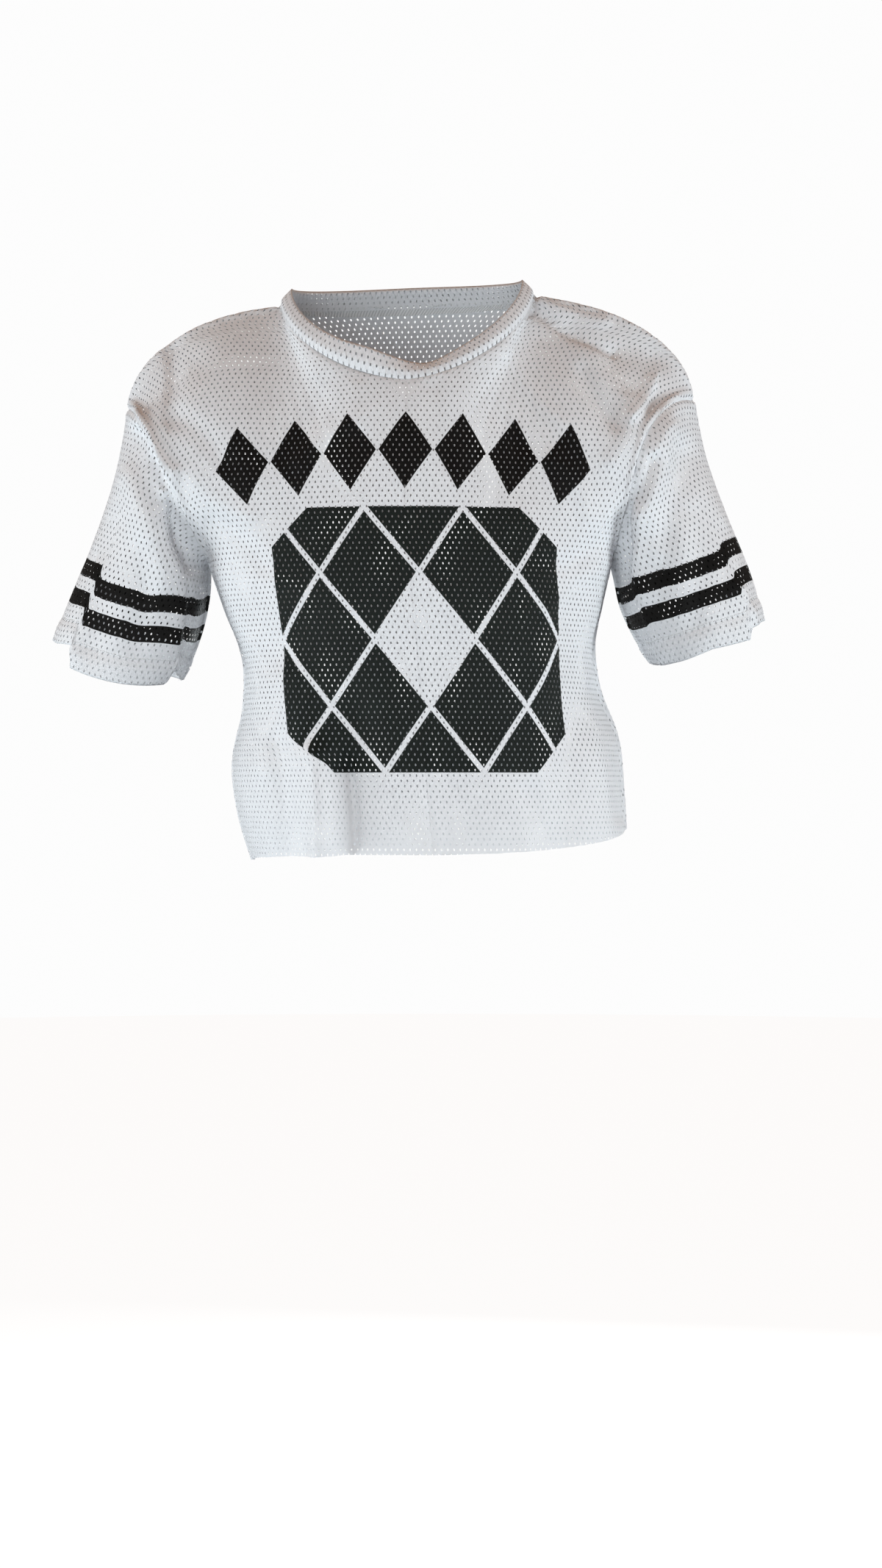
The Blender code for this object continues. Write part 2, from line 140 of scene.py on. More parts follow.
# %% Folds
FOLD_COLUMNS = ("from_x", "from_z", "to_x", "to_z", "bend", "left", "right", "height")
LARGE_FOLDS = {
    "front": [
        (-182, -62, -222, -96, 0, 17, 17, -4), (142, -30, 205, -52, 0, 15, 15, -6),
        (118, -42, 168, -110, 0, 14, 14, -4), (178, -60, 205, -92, 0, 18, 18, -7),
        (-150, -215, -120, -300, 0, 22, 22, -5), (-95, -330, -62, -478, 0, 16, 16, 6),
        (-40, -360, -30, -478, 0, 17, 17, -5), (60, -390, 62, -478, 0, 20, 20, 4),
        (140, -260, 128, -470, 0, 20, 20, -6), (92, -205, 108, -330, 0, 26, 26, 4),
    ],
    "back": [
        (-120, -60, -165, -190, 0, 24, 24, -6), (118, -50, 172, -185, 0, 22, 22, -6),
        (-62, -250, -88, -475, 0, 22, 22, 8), (10, -290, 4, -475, 0, 20, 20, -7),
        (78, -240, 96, -475, 0, 24, 24, 8), (-128, -300, -120, -475, 0, 18, 18, -6),
    ],
    "sleeve_right": [
        (-212, -150, -185, -212, 0, 12, 12, -6), (-226, -160, -198, -245, 0, 14, 14, 5),
        (-250, -200, -262, -300, 0, 14, 14, -3),
    ],
    "sleeve_left": [
        (214, -120, 192, -190, 0, 13, 13, 6), (232, -140, 205, -235, 0, 13, 13, -6),
        (205, -225, 190, -262, 0, 11, 11, 4),
    ],
}
FINE_FOLDS = {
    "front": [
        (-190, -110, -150, -150, 4, 9, 9, -2.5), (-178, -160, -130, -196, -5, 9, 9, 2.5),
        (-160, -200, -118, -236, 4, 8, 8, -2.5), (-66, -84, -100, -150, 4, 8, 8, -1.6),
        (-40, -92, -56, -160, 3, 8, 8, 1.4), (22, -92, 34, -150, -3, 8, 8, -1.4),
        (60, -78, 92, -140, -4, 8, 8, -2), (84, -58, 128, -120, -5, 7, 7, 1.8),
        (146, -70, 172, -118, -3, 6, 6, -1.8), (184, -96, 168, -150, 5, 9, 9, 3),
        (176, -200, 128, -236, 4, 9, 9, -3), (168, -214, 116, -268, 6, 9, 9, 2),
        (159, -336, 178, -438, 3, 8, 8, -3), (-128, -300, -116, -400, 5, 10, 10, 2.5),
        (-104, -380, -98, -478, 3, 9, 9, -3), (10, -400, 16, -478, -3, 12, 12, 2),
        (100, -420, 108, -478, 3, 10, 10, -2), (-226, -108, -190, -158, -4, 4, 8, 5),
        (-201, -46, -198, -112, 2, 12, 5, -3), (106, -15, 174, -47, -3, 5, 5, -4.5),
        (112, -6, 166, -24, -3, 5, 5, 3), (186, -112, 207, -78, -2, 8, 3, 4),
        (-70, -390, -68, -478, 2, 9, 8, 9), (-50, -398, -46, -478, 2, 8, 9, -9),
        (-88, -150, -40, -122, 3, 14, 9, 2), (120, -150, 150, -196, 4, 9, 9, 2.5),
    ],
    "back": [
        (-150, -110, -110, -170, 6, 10, 10, 3), (150, -104, 106, -168, -6, 10, 10, 3),
        (-166, -214, -100, -260, 6, 10, 10, -3), (168, -210, 110, -262, -6, 10, 10, -3),
        (-30, -60, -38, -200, 4, 14, 14, -2.5), (34, -56, 44, -196, -4, 14, 14, -2.5),
        (-36, -330, -42, -478, 4, 12, 12, 4), (46, -340, 44, -478, -4, 12, 12, 4),
        (140, -300, 150, -455, 4, 12, 12, -4),
    ],
    "sleeve_right": [
        (-226, -120, -187, -170, -3, 4, 8, -8), (-230, -130, -206, -180, -3, 6, 7, -3.5),
        (-199, -173, -180, -192, 0, 3, 7, 4.5), (-189, -184, -176, -230, -2, 8, 9, -10),
        (-277, -304, -262, -236, 0, 2.5, 12, 3.5), (-194, -320, -185, -262, 0, 10, 2.5, 3),
        (-240, -130, -262, -210, 5, 9, 9, 2.5), (-216, -224, -224, -300, 4, 10, 10, -2.5),
        (-274, -240, -284, -300, -3, 9, 9, 2),
    ],
    "sleeve_left": [
        (195, -113, 214, -80, 2, 4, 7, -4.5), (200, -149, 179, -193, 2, 8, 5, -6.5),
        (180, -204, 181, -242, 0, 5, 5, -6), (187, -186, 189, -240, 2, 5, 6, 3),
        (293, -287, 276, -250, 0, 10, 2.5, 2.5), (210, -309, 188, -224, 3, 3, 10, 2.5),
        (246, -120, 262, -190, -4, 8, 8, 3), (238, -190, 236, -280, 4, 10, 10, -2.5),
        (270, -200, 286, -270, -4, 10, 10, 2),
    ],
}
FOLD_FADE = 14           # large and fine folds die out this far from a seam
FINE_FADE = 4
SLEEVE_FOLD_EDGE = 1.5   # how sharply a sleeve's folds end at the edge of its front


def bell(distance, width):
    """1 at a place, falling smoothly to nearly 0 at twice the width away."""
    return np.exp(-((distance / width) ** 2))


def fold_height(folds, piece, place):
    """Height of some folds of a piece at each of its points."""
    total = np.zeros(place.shape[:-1])
    for row in folds[piece]:
        fold = dict(zip(FOLD_COLUMNS, row))
        start = np.array([fold["from_x"], fold["from_z"]], dtype=float)
        along = np.array([fold["to_x"], fold["to_z"]]) - start
        offset = place[..., [0, 2]] - start
        share = np.clip(offset @ along / (along @ along), 0, 1)
        square = np.array([-along[1], along[0]]) / np.linalg.norm(along)
        bend = fold["bend"] * 4 * share * (1 - share)
        line = share[..., None] * along + bend[..., None] * square
        away = offset - line
        width = np.where(away @ square > 0, fold["left"], fold["right"])
        total += fold["height"] * bell(np.linalg.norm(away, axis=-1), width)
    return total


def seam_fade(distance, width):
    """0 at a seam and 1 well away from it."""
    share = np.clip(distance / width, 0, 1)
    return share * share * (3 - 2 * share)


def all_folds(piece, place, distance):
    """Height of all the folds; the large ones die out early before a seam, the fine ones close to it."""
    return (fold_height(LARGE_FOLDS, piece, place) * seam_fade(distance, FOLD_FADE)
            + fold_height(FINE_FOLDS, piece, place) * seam_fade(distance, FINE_FADE))


for title, folds in (("large", LARGE_FOLDS), ("fine", FINE_FOLDS)):
    print(sum(len(rows) for rows in folds.values()), title, "folds")

# %% [markdown]
# ## The worn form
#
# Front and back are each one surface with two coordinates: how far across (-1 to 1, side to side) and
# how far down (0 at the top edge, 1 at the hem). Rows go round the body as squared ovals, and the cut
# top edge with its neckline is blended in, fading out down the panel.

# %% Reading tables and curves
TINY = 1e-9              # keeps a division from being by nothing


def column(table, name):
    place = table[0].index(name)
    return np.array([row[place] for row in table[1:]], dtype=float)


def smooth(at, stations, values):
    """A smooth curve through a table's stations, read at any place between them."""
    order = np.argsort(stations)
    stations, values = stations[order], values[order]
    slopes = np.gradient(values, stations)
    at = np.clip(at, stations[0], stations[-1])
    k = np.clip(np.searchsorted(stations, at, side="right") - 1, 0, len(stations) - 2)
    span = stations[k + 1] - stations[k]
    t = (at - stations[k]) / span
    return ((2 * t**3 - 3 * t**2 + 1) * values[k] + (t**3 - 2 * t**2 + t) * span * slopes[k]
            + (3 * t**2 - 2 * t**3) * values[k + 1] + (t**3 - t**2) * span * slopes[k + 1])


def read(table, name, at, by):
    return smooth(at, column(table, by), column(table, name))


def signed_power(value, power):
    return np.sign(value) * np.abs(value) ** power


def arch(across, power):
    """An arch that is 1 in the middle and 0 at both ends."""
    return np.clip(1 - np.abs(across) ** power, 0, 1) ** (1 / power)


def points(x, y, z):
    return np.stack(np.broadcast_arrays(x, y, z), axis=-1)


def unit(vector):
    return vector / np.maximum(np.linalg.norm(vector, axis=-1, keepdims=True), TINY)


def pairs(u, v):
    return np.stack([u, v], axis=-1)


def step_lengths(line):
    """Length of each step along a line, or down each column of a grid."""
    return np.linalg.norm(np.diff(line, axis=0), axis=-1)


def running(steps):
    """The sum of the steps up to each point, from 0."""
    return np.concatenate([np.zeros((1,) + steps.shape[1:]), np.cumsum(steps, axis=0)])


# %% Seam lines
def shoulder_line(side, share):
    (neck_x, neck_z), (tip_x, tip_z) = SIDES[side]["neck"], SIDES[side]["tip"]
    turn = share * math.pi / 2
    fall = SHOULDER_SLOPE * share + (1 - SHOULDER_SLOPE) * (1 - np.cos(turn))
    return points(neck_x + (tip_x - neck_x) * np.sin(turn), 0.0, neck_z + (tip_z - neck_z) * fall)


def armhole_bow(side, turn):
    bend = np.abs(np.sin(turn)) * (1 + np.cos(turn))
    return -SIDES[side]["sign"] * SIDES[side]["bow"] * bend / BOW_PEAK


def side_edge(side, face, down):
    """The whole side edge of a panel: its armhole, then its side seam."""
    (tip_x, tip_z), (low_x, low_z) = SIDES[side]["tip"], SIDES[side]["underarm"]
    turn = np.clip(down / ARMHOLE_SHARE, 0, 1) * math.pi
    along = (1 - np.cos(turn)) / 2
    arm = points(tip_x + (low_x - tip_x) * along + armhole_bow(side, turn),
                 ARMHOLE_DEPTH[face] * np.sin(turn) * FACING[face],
                 tip_z + (low_z - tip_z) * along)
    share = np.clip((down - ARMHOLE_SHARE) / (1 - ARMHOLE_SHARE), 0, 1)
    seam = points(read(SIDE_SEAM, side, share, "down"), read(SIDE_SEAM, side + "_y", share, "down"),
                  low_z + (HEM[side] - low_z) * share)
    return np.where((down < ARMHOLE_SHARE)[..., None], arm, seam)


def neckline(face, across):
    cut = NECKLINE[face]
    (right_x, right_z), (left_x, left_z) = SIDES["right"]["neck"], SIDES["left"]["neck"]
    half = (across + 1) / 2
    return points(right_x + (left_x - right_x) * half,
                  FACING[face] * cut["reach"] * arch(across, cut["round"]),
                  right_z + (left_z - right_z) * half - cut["depth"] * arch(across, cut["fall"]))


def top_edge(face, across):
    in_neck = neckline(face, np.sin(np.clip(across / NECK_SHARE, -1, 1) * math.pi / 2))
    out = np.clip((np.abs(across) - NECK_SHARE) / (1 - NECK_SHARE), 0, 1)
    edge = np.where((across < 0)[..., None], shoulder_line("right", out), shoulder_line("left", out))
    return np.where((np.abs(across) < NECK_SHARE)[..., None], in_neck, edge)


# %% Worn form of a panel
ARC_STEPS = 64           # stations that a row's length is measured by
TOP_STATIONS = 801       # stations along the top edge when it is blended in


def oval(turn, width, depth, square):
    return width * signed_power(np.cos(turn), 2 / square), depth * signed_power(np.sin(turn), 2 / square)


def girth_grid(face, across, down):
    """Plain rows round the body, one for each value of down, even in length from middle to side."""
    start = neckline(face, np.zeros_like(down))
    z = start[:, 2] + (HEM["centre_" + face] - start[:, 2]) * down
    middle = points(read(PROFILE, "centre", z, "z"), FACING[face] * read(PROFILE, face, z, "z"), z)
    square = read(PROFILE, "square", z, "z")
    grid = np.zeros((len(down), len(across), 3))
    steps = np.linspace(0, 1, ARC_STEPS)
    for side, sizes in SIDES.items():
        own = across * sizes["sign"] >= 0
        share = np.abs(across[own])
        edge = side_edge(side, face, down)
        rise = np.clip(edge[:, 1] / middle[:, 1], -MAX_RISE, MAX_RISE)
        first = np.arcsin(signed_power(rise, square / 2))
        width = (edge[:, 0] - middle[:, 0]) / np.cos(first) ** (2 / square)
        for i in range(len(down)):
            x, y = oval(math.pi / 2 + (first[i] - math.pi / 2) * steps, width[i], middle[i, 1], square[i])
            length = running(np.hypot(np.diff(x), np.diff(y)))
            turn = math.pi / 2 + (first[i] - math.pi / 2) * np.interp(share, length / length[-1], steps)
            x, y = oval(turn, width[i], middle[i, 1], square[i])
            level = middle[i, 2] + (edge[i, 2] - middle[i, 2]) * share**2
            grid[i, own] = points(x + middle[i, 0], y, level)
    return grid


def panel_grid(face, across, down):
    """Worn form of the front or back, without folds."""
    wide = np.linspace(-1, 1, TOP_STATIONS)
    shift_table = top_edge(face, wide) - girth_grid(face, wide, np.zeros(1))[0]
    aside, depth = np.meshgrid(across, down)
    spread = NECK_SPREAD * (1 - np.exp(-depth / NECK_SPREAD_DEPTH)) * (1 - np.abs(aside))
    shift = np.zeros(aside.shape + (3,))
    for offset, weight in SPREAD_WEIGHTS:
        for k in range(3):
            shift[..., k] += weight * np.interp(aside + spread * offset, wide, shift_table[:, k])
    shoulder = np.clip((np.abs(aside) - SHOULDER_START) / (1 - SHOULDER_START), 0, 1)
    crown = SHOULDER_ROUND[face] * np.sin(math.pi * shoulder) ** SHOULDER_CROWN
    lift = crown * depth * (1 - depth) ** SHOULDER_FADE
    yoke = ((1 - depth) ** YOKE_FADE)[..., None]
    return girth_grid(face, across, down) + shift * yoke + points(0.0, 0.0, lift)


# %% Worn form of a sleeve
def sleeve_grid(side, turn, down):
    """Turn 0 is the outside of the arm, a quarter the front and a half the underarm."""
    turn, down = np.meshgrid(turn, down)
    table = SLEEVE[side]
    value = {name: read(table, name, down, "down") for name in table[0][1:]}
    angle = turn * 2 * math.pi
    across = (1 - np.cos(angle)) / 2
    front = np.clip(np.sin(angle), 0, 1)
    back = np.clip(-np.sin(angle), 0, 1)
    bow = armhole_bow(side, angle) * (1 - down) ** 2
    return points(value["outer_x"] + (value["inner_x"] - value["outer_x"]) * across + bow,
                  value["back"] * back - value["front"] * front,
                  value["outer_z"] + (value["inner_z"] - value["outer_z"]) * across
                  - value["front_drop"] * front)


# %% [markdown]
# ## From flat cloth to worn cloth
#
# A net keeps its pitch when it is worn: the holes stay the same distance apart, in level rows. So each
# piece gets a cutting plan, flat and in millimetres, with u across and v along. For every level v the
# worn form is walked from the middle to the edge and measured, and u is laid off by that length.

# %% Walking a surface
ROW_STATIONS = 161       # stations along a level row,
ROW_STEPS = 241          # and finer ones that its length is measured by
SHORTEST = 1e-6          # a row is taken to be at least this long
NEARLY_LAST = 1.001      # a table is read up to just before its last station


def grid_normals(place):
    return unit(np.cross(np.gradient(place, axis=1), np.gradient(place, axis=0)))


def even_down(grid, rows):
    """The grid again, with its rows evenly spaced by length down each column."""
    length = running(step_lengths(grid))
    even = np.zeros((rows, grid.shape[1], 3))
    for j in range(grid.shape[1]):
        share = length[:, j] / length[-1, j]
        for k in range(3):
            even[:, j, k] = np.interp(np.linspace(0, 1, rows), share, grid[:, j, k])
    return even


def bilinear(table, row, col):
    """A table read between its stations; row and col count from 0."""
    row = np.clip(row, 0, table.shape[0] - NEARLY_LAST)
    col = np.clip(col, 0, table.shape[1] - NEARLY_LAST)
    i, j = row.astype(int), col.astype(int)
    down, along = (row - i)[..., None], (col - j)[..., None]
    return ((1 - down) * ((1 - along) * table[i, j] + along * table[i, j + 1])
            + down * ((1 - along) * table[i + 1, j] + along * table[i + 1, j + 1]))


def level_table(even, shares, inner, outer):
    """One half of a piece on level rows, each even in length from its inner to its outer column."""
    rows = []
    for share, first, last in zip(shares, inner, outer):
        col = np.linspace(first, last, ROW_STEPS)
        row = np.interp(col, np.arange(len(share)), share) * (even.shape[0] - 1)
        line = bilinear(even, row, col)
        length = running(step_lengths(line))
        at = np.linspace(0, max(length[-1], SHORTEST), ROW_STATIONS)
        rows.append(np.stack([np.interp(at, length, line[:, k]) for k in range(3)], axis=-1))
    return np.array(rows)


def row_lengths(table):
    """Worn length of each level row of one half of a piece."""
    return np.linalg.norm(np.diff(table, axis=1), axis=-1).sum(axis=1)


# %% [markdown]
# ## Cutting plans
#
# The panels are boxy: a straight shoulder that falls 40 mm, an armhole that curves in and out again,
# a straight side, and a raw hem that was cut a little askew, across the rows of holes, so that the
# right side is longer. Only the neck drop differs between front and back. A sleeve is a short
# trapezoid with a flat cap.

# %% Cutting plan of a panel
CUT_LENGTH = 515                        # neck point down to the middle of the hem
LONGEST_CUT = 530
NECK_DROP = {"front": 95, "back": 17.5}   # neck point down to the middle of the neckline, flat
NECK_CURVE = {"front": 1.7, "back": 2.4}
SHOULDER_DROP = 40
YOKE_SIDE = [("v", "half"), (0, 106), (40, 274), (60, 262), (80, 254), (95, 247)]
YOKE_END = 95                           # below this the cut follows from the worn rows


def neck_share(face, v):
    """How far across the panel its neckline is at a level, as a share of half the panel."""
    half_width = arch(np.clip(v / NECK_DROP[face], 0, 1), NECK_CURVE[face])
    return NECK_SHARE * np.arcsin(half_width) * 2 / math.pi


def top_cut(face, across):
    """Level of the cut top edge at a place across."""
    share = np.abs(across)
    half_width = np.sin(np.clip(share / NECK_SHARE, 0, 1) * math.pi / 2)
    in_neck = NECK_DROP[face] * arch(half_width, NECK_CURVE[face])
    on_shoulder = SHOULDER_DROP * (share - NECK_SHARE) / (1 - NECK_SHARE)
    return np.where(share < NECK_SHARE, in_neck, on_shoulder)


LEVEL_STEP = 1.25                       # between the level rows of a panel
SLEEVE_LEVEL_STEP = 0.25                # finer, because a cap is nearly flat along its top
LEVEL_FROM = 130                        # below this the holes hang level in the middle of a panel,
LEVEL_FROM_SIDE = 110                   # and at its sides this much further down
PANEL_HALF = 240                        # rough worn sizes, which turn shares into millimetres
PANEL_LENGTH = 420
SLEEVE_LENGTH = 205
ACROSS_STEPS = 320                      # columns of a worn piece,
MIDDLE = ACROSS_STEPS // 2              # and the one in its middle
PANEL_ROWS = 241
EVEN_ROWS = 321
SLEEVE_ROWS = 161
HEM_ROWS = 8                            # the last rows, which show how steeply the cloth hangs
EDGE_POINTS = 240                       # down one side of a flat outline


def level_shares(face, even, across, levels):
    """How far down each worn column a flat level lies, and the flat level of the hem at each column."""
    down = np.linspace(0, 1, len(even))
    top = top_cut(face, across)
    middle = even[:, len(across) // 2, 2]
    in_middle = (levels - top[len(across) // 2]) / (CUT_LENGTH - top[len(across) // 2])
    fall = (middle[-1] - middle[-HEM_ROWS]) / (down[-1] - down[-HEM_ROWS])
    hang = np.interp(in_middle, down, middle) + np.maximum(in_middle - 1, 0) * fall
    shares, hem = np.zeros((len(levels), len(across))), np.zeros(len(across))
    for j, a in enumerate(across):
        depth = np.maximum.accumulate(-even[:, j, 2])
        start = LEVEL_FROM + LEVEL_FROM_SIDE * a * a
        at_start = np.interp(-np.interp(start, levels, hang), depth, down)
        above = np.clip(at_start * (levels - top[j]) / (start - top[j]), 0, 1)
        shares[:, j] = np.where(levels < start, above, np.interp(-hang, depth, down))
        hem[j] = np.interp(depth[-1], -hang, levels)
    return shares, hem


def panel_plan(face):
    """Both halves of a worn panel on level rows, with its folds, and its outline laid flat."""
    across, down = np.linspace(-1, 1, ACROSS_STEPS + 1), np.linspace(0, 1, PANEL_ROWS)
    grid = panel_grid(face, across, down)
    aside, depth = np.meshgrid(across, down)
    normal = grid_normals(grid)
    outward = np.sign(normal[PANEL_ROWS // 2, MIDDLE, 1]) * FACING[face]
    to_seam = np.minimum((1 - np.abs(aside)) * PANEL_HALF, depth * PANEL_LENGTH)
    even = even_down(grid + normal * (outward * all_folds(face, grid, to_seam))[..., None], EVEN_ROWS)
    levels = np.arange(0, LONGEST_CUT + LEVEL_STEP / 2, LEVEL_STEP)
    shares, hem = level_shares(face, even, across, levels)
    neck_end = neck_share(face, levels)
    side_end = np.where(levels < SHOULDER_DROP,
                        NECK_SHARE + (1 - NECK_SHARE) * levels / SHOULDER_DROP, 1.0)
    plan = {"halves": {}, "inner": {}, "outer": {}, "levels": levels, "step": LEVEL_STEP,
            "corner": {-1: hem[0], 1: hem[-1]}}
    edge = {}
    # A net isn't stretched unevenly, so below the yoke each half is cut to its worn rows, and the
    # neckline so that the cloth beside it is stretched no more than the cloth just below it.
    for side, columns in (("right", slice(0, MIDDLE + 1)), ("left", slice(ACROSS_STEPS, MIDDLE - 1, -1))):
        sign = SIDES[side]["sign"]
        table = level_table(even, shares, MIDDLE * (1 + sign * neck_end), MIDDLE * (1 + sign * side_end))
        worn = row_lengths(table)
        yoke = np.interp(levels, column(YOKE_SIDE, "v"), column(YOKE_SIDE, "half"))
        half = np.where(levels < YOKE_END, yoke, worn * (yoke / worn)[levels >= YOKE_END][0])
        beside = worn * (half / np.maximum(worn, 1))[levels >= NECK_DROP[face]][0]
        neck = np.where(levels < NECK_DROP[face], np.maximum(half - beside, 0), 0)
        plan["halves"][side], plan["inner"][side], plan["outer"][side] = table, neck, half
        in_neck = levels <= NECK_DROP[face]
        down_side, raw_edge = np.linspace(0, hem[columns][0], EDGE_POINTS)[1:], hem[columns][1:]
        u = np.concatenate([sign * neck[in_neck][::-1], sign * np.interp(down_side, levels, half),
                            across[columns][1:] * np.interp(raw_edge, levels, half)])
        edge[side] = pairs(u, np.concatenate([levels[in_neck][::-1], down_side, raw_edge]))
    plan["outline"] = np.concatenate([edge["left"], edge["right"][-2:0:-1]])
    return plan


# %% Cutting plan of a sleeve
CUFF_TURN = 22                          # depth of the hem that is turned up inside a cuff
CUFF_POINTS = 12                        # down one side of that hem
CAP_FALL = 0.1                          # a cap falls from its top by at least this much a column


def sleeve_plan(side):
    """Both halves of a worn sleeve on level rows; level 0 is the cuff, and the cap is the far end."""
    turn, down = np.linspace(-0.5, 0.5, ACROSS_STEPS + 1), np.linspace(1, 0, SLEEVE_ROWS)
    grid = sleeve_grid(side, turn, down)
    turns, depth = np.meshgrid(turn, down)
    seen = np.clip(np.sin(turns * 2 * math.pi) * SLEEVE_FOLD_EDGE, 0, 1)
    normal = grid_normals(grid)
    outward = np.sign(((grid - grid.mean(axis=1, keepdims=True)) * normal).sum(axis=-1).mean())
    height = all_folds("sleeve_" + side, grid, depth * SLEEVE_LENGTH) * seen
    even = even_down(grid + normal * (outward * height)[..., None], SLEEVE_ROWS)
    crown = CAP_FALL * np.arange(MIDDLE + 1)
    cap = np.minimum.accumulate(running(step_lengths(grid))[-1, MIDDLE:] + crown) - crown
    levels = np.arange(0, cap[0] + SLEEVE_LEVEL_STEP, SLEEVE_LEVEL_STEP)
    outer = np.interp(levels, cap[::-1], turn[MIDDLE:][::-1])
    shares = np.clip(levels[:, None] / np.interp(np.abs(turn), turn[MIDDLE:], cap), 0, 1)
    halves = {half: level_table(even, shares, np.full_like(levels, MIDDLE),
                                MIDDLE + sizes["sign"] * ACROSS_STEPS * outer)
              for half, sizes in SIDES.items()}
    widths = np.mean([row_lengths(table) for table in halves.values()], axis=0)
    turned = np.linspace(-CUFF_TURN, 0, CUFF_POINTS)
    edge = pairs(np.concatenate([np.interp(-turned, levels, widths), widths[1:]]),
                 np.concatenate([turned, levels[1:]]))
    widest = widths.argmax()
    return {"halves": halves, "outline": np.concatenate([edge, (edge * [-1, 1])[::-1]]),
            "levels": levels, "step": SLEEVE_LEVEL_STEP,
            "cap": (widths[widest:][::-1], levels[widest:][::-1]),
            "inner": dict.fromkeys(halves, np.zeros_like(widths)),
            "outer": dict.fromkeys(halves, widths)}


plans = {"front": panel_plan("front"), "back": panel_plan("back"),
         "sleeve_right": sleeve_plan("right"), "sleeve_left": sleeve_plan("left")}
for name, plan in plans.items():
    size = plan["outline"].max(axis=0) - plan["outline"].min(axis=0)
    print(name, "is cut", round(float(size[0])), "by", round(float(size[1])), "mm")

# %% [markdown]
# ## A pierced net
#
# Pinhole mesh is knitted with rows of small upright oval holes, 5.2 mm apart, each row shifted by half.
# A grid has a vertex at every hole and one between. Bevelling only the hole vertices opens an
# eight-sided oval at each, and deleting the new faces leaves the net. Real openings are used rather
# than a see-through material, so that light passes through them and the mesh is right from any side.

# %% Flat net
HOLE_STEP = 2.6          # half the distance between the holes of a row
ROW_STEP = 4.56          # from one row to the next
HOLE_OPENING = 26        # how far a hole reaches towards its neighbours, in percent
HOLE_ROUNDNESS = 0.08    # the bevel's profile; under a quarter it bows outwards, to an oval


def read_out(items, name, size=1, kind=float):
    """One value, or one row of them, for each vertex, corner or face of a mesh."""
    values = np.empty(len(items) * size, dtype=kind)
    items.foreach_get(name, values)
    return values.reshape(-1, size) if size > 1 else values


def vertex_places(piece):
    return read_out(piece.data.vertices, "co", 3)


def set_places(piece, place):
    piece.data.vertices.foreach_set("co", np.ascontiguousarray(place).ravel())
    piece.data.update()


def rename(piece, name):
    piece.name = piece.data.name = name
    return piece


def grid_object(name, columns, rows):
    """A flat grid primitive whose vertices sit at whole numbers, from 0 to columns and 0 to rows."""
    bpy.ops.object.select_all(action="DESELECT")
    bpy.ops.mesh.primitive_grid_add(x_subdivisions=columns, y_subdivisions=rows, size=1)
    piece = rename(bpy.context.object, name)
    place = vertex_places(piece)
    place[:, :2] = np.round((place[:, :2] + 0.5) * [columns, rows])
    set_places(piece, place)
    return piece


def select_only(piece, chosen, kind):
    """Leaves just these vertices or faces selected, and opens the piece in edit mode."""
    bpy.context.view_layer.objects.active = piece
    bpy.ops.object.mode_set(mode="EDIT")
    bpy.ops.mesh.select_mode(type=kind)
    bpy.ops.mesh.select_all(action="DESELECT")
    bpy.ops.object.mode_set(mode="OBJECT")
    items = piece.data.vertices if kind == "VERT" else piece.data.polygons
    items.foreach_set("select", np.ascontiguousarray(chosen, dtype=bool))
    bpy.ops.object.mode_set(mode="EDIT")


def flat_net(name, low, high, shift):
    """A pierced net over a flat stretch of cloth; its vertices are at u, v in millimetres."""
    first = [math.floor(low[0] / HOLE_STEP) - 1, math.floor((low[1] - shift) / ROW_STEP) - 1]
    last = [math.ceil(high[0] / HOLE_STEP) + 1, math.ceil((high[1] - shift) / ROW_STEP) + 1]
    net = grid_object(name, last[0] - first[0], last[1] - first[1])
    place = vertex_places(net)
    place[:, :2] += first
    hole = (place[:, 0] + place[:, 1]).round() % 2 == 0
    place[:, 0] *= HOLE_STEP
    place[:, 1] = place[:, 1] * ROW_STEP + shift
    set_places(net, place)
    select_only(net, hole, "VERT")
    bpy.ops.mesh.bevel(affect="VERTICES", offset_type="PERCENT", offset_pct=HOLE_OPENING,
                       segments=2, profile=HOLE_ROUNDNESS)
    bpy.ops.mesh.select_mode(type="FACE")
    bpy.ops.mesh.delete(type="FACE")
    bpy.ops.object.mode_set(mode="OBJECT")
    return net


def add_crease(net, v):
    """An edge right across flat cloth, where it is folded later."""
    select_only(net, np.ones(len(net.data.vertices)), "VERT")
    bpy.ops.mesh.bisect(plane_co=(0, v, 0), plane_no=(0, 1, 0))
    bpy.ops.object.mode_set(mode="OBJECT")


# %% Cutting the net out
MERGED = 0.06            # vertices closer than this on the cut line become one
VANISHED = 0.02          # edges shorter than this go


def inside_outline(place, outline):
    """Which flat points lie inside a closed outline, by counting the edges to one side of them."""
    inside = np.zeros(len(place), dtype=bool)
    for (u0, v0), (u1, v1) in zip(outline, np.roll(outline, -1, axis=0)):
        crosses = (v0 > place[:, 1]) != (v1 > place[:, 1])
        if v0 != v1:
            inside ^= crosses & (place[:, 0] < (u1 - u0) * (place[:, 1] - v0) / (v1 - v0) + u0)
    return inside


def onto_outline(place, outline):
    """The nearest point of a closed outline to each flat point."""
    start, along = outline, np.roll(outline, -1, axis=0) - outline
    length = np.maximum((along**2).sum(axis=1), TINY)
    share = ((place[:, None] - start) * along).sum(axis=-1) / length
    near = start + np.clip(share, 0, 1)[..., None] * along
    best = np.linalg.norm(near - place[:, None], axis=-1).argmin(axis=1)
    return near[np.arange(len(place)), best]


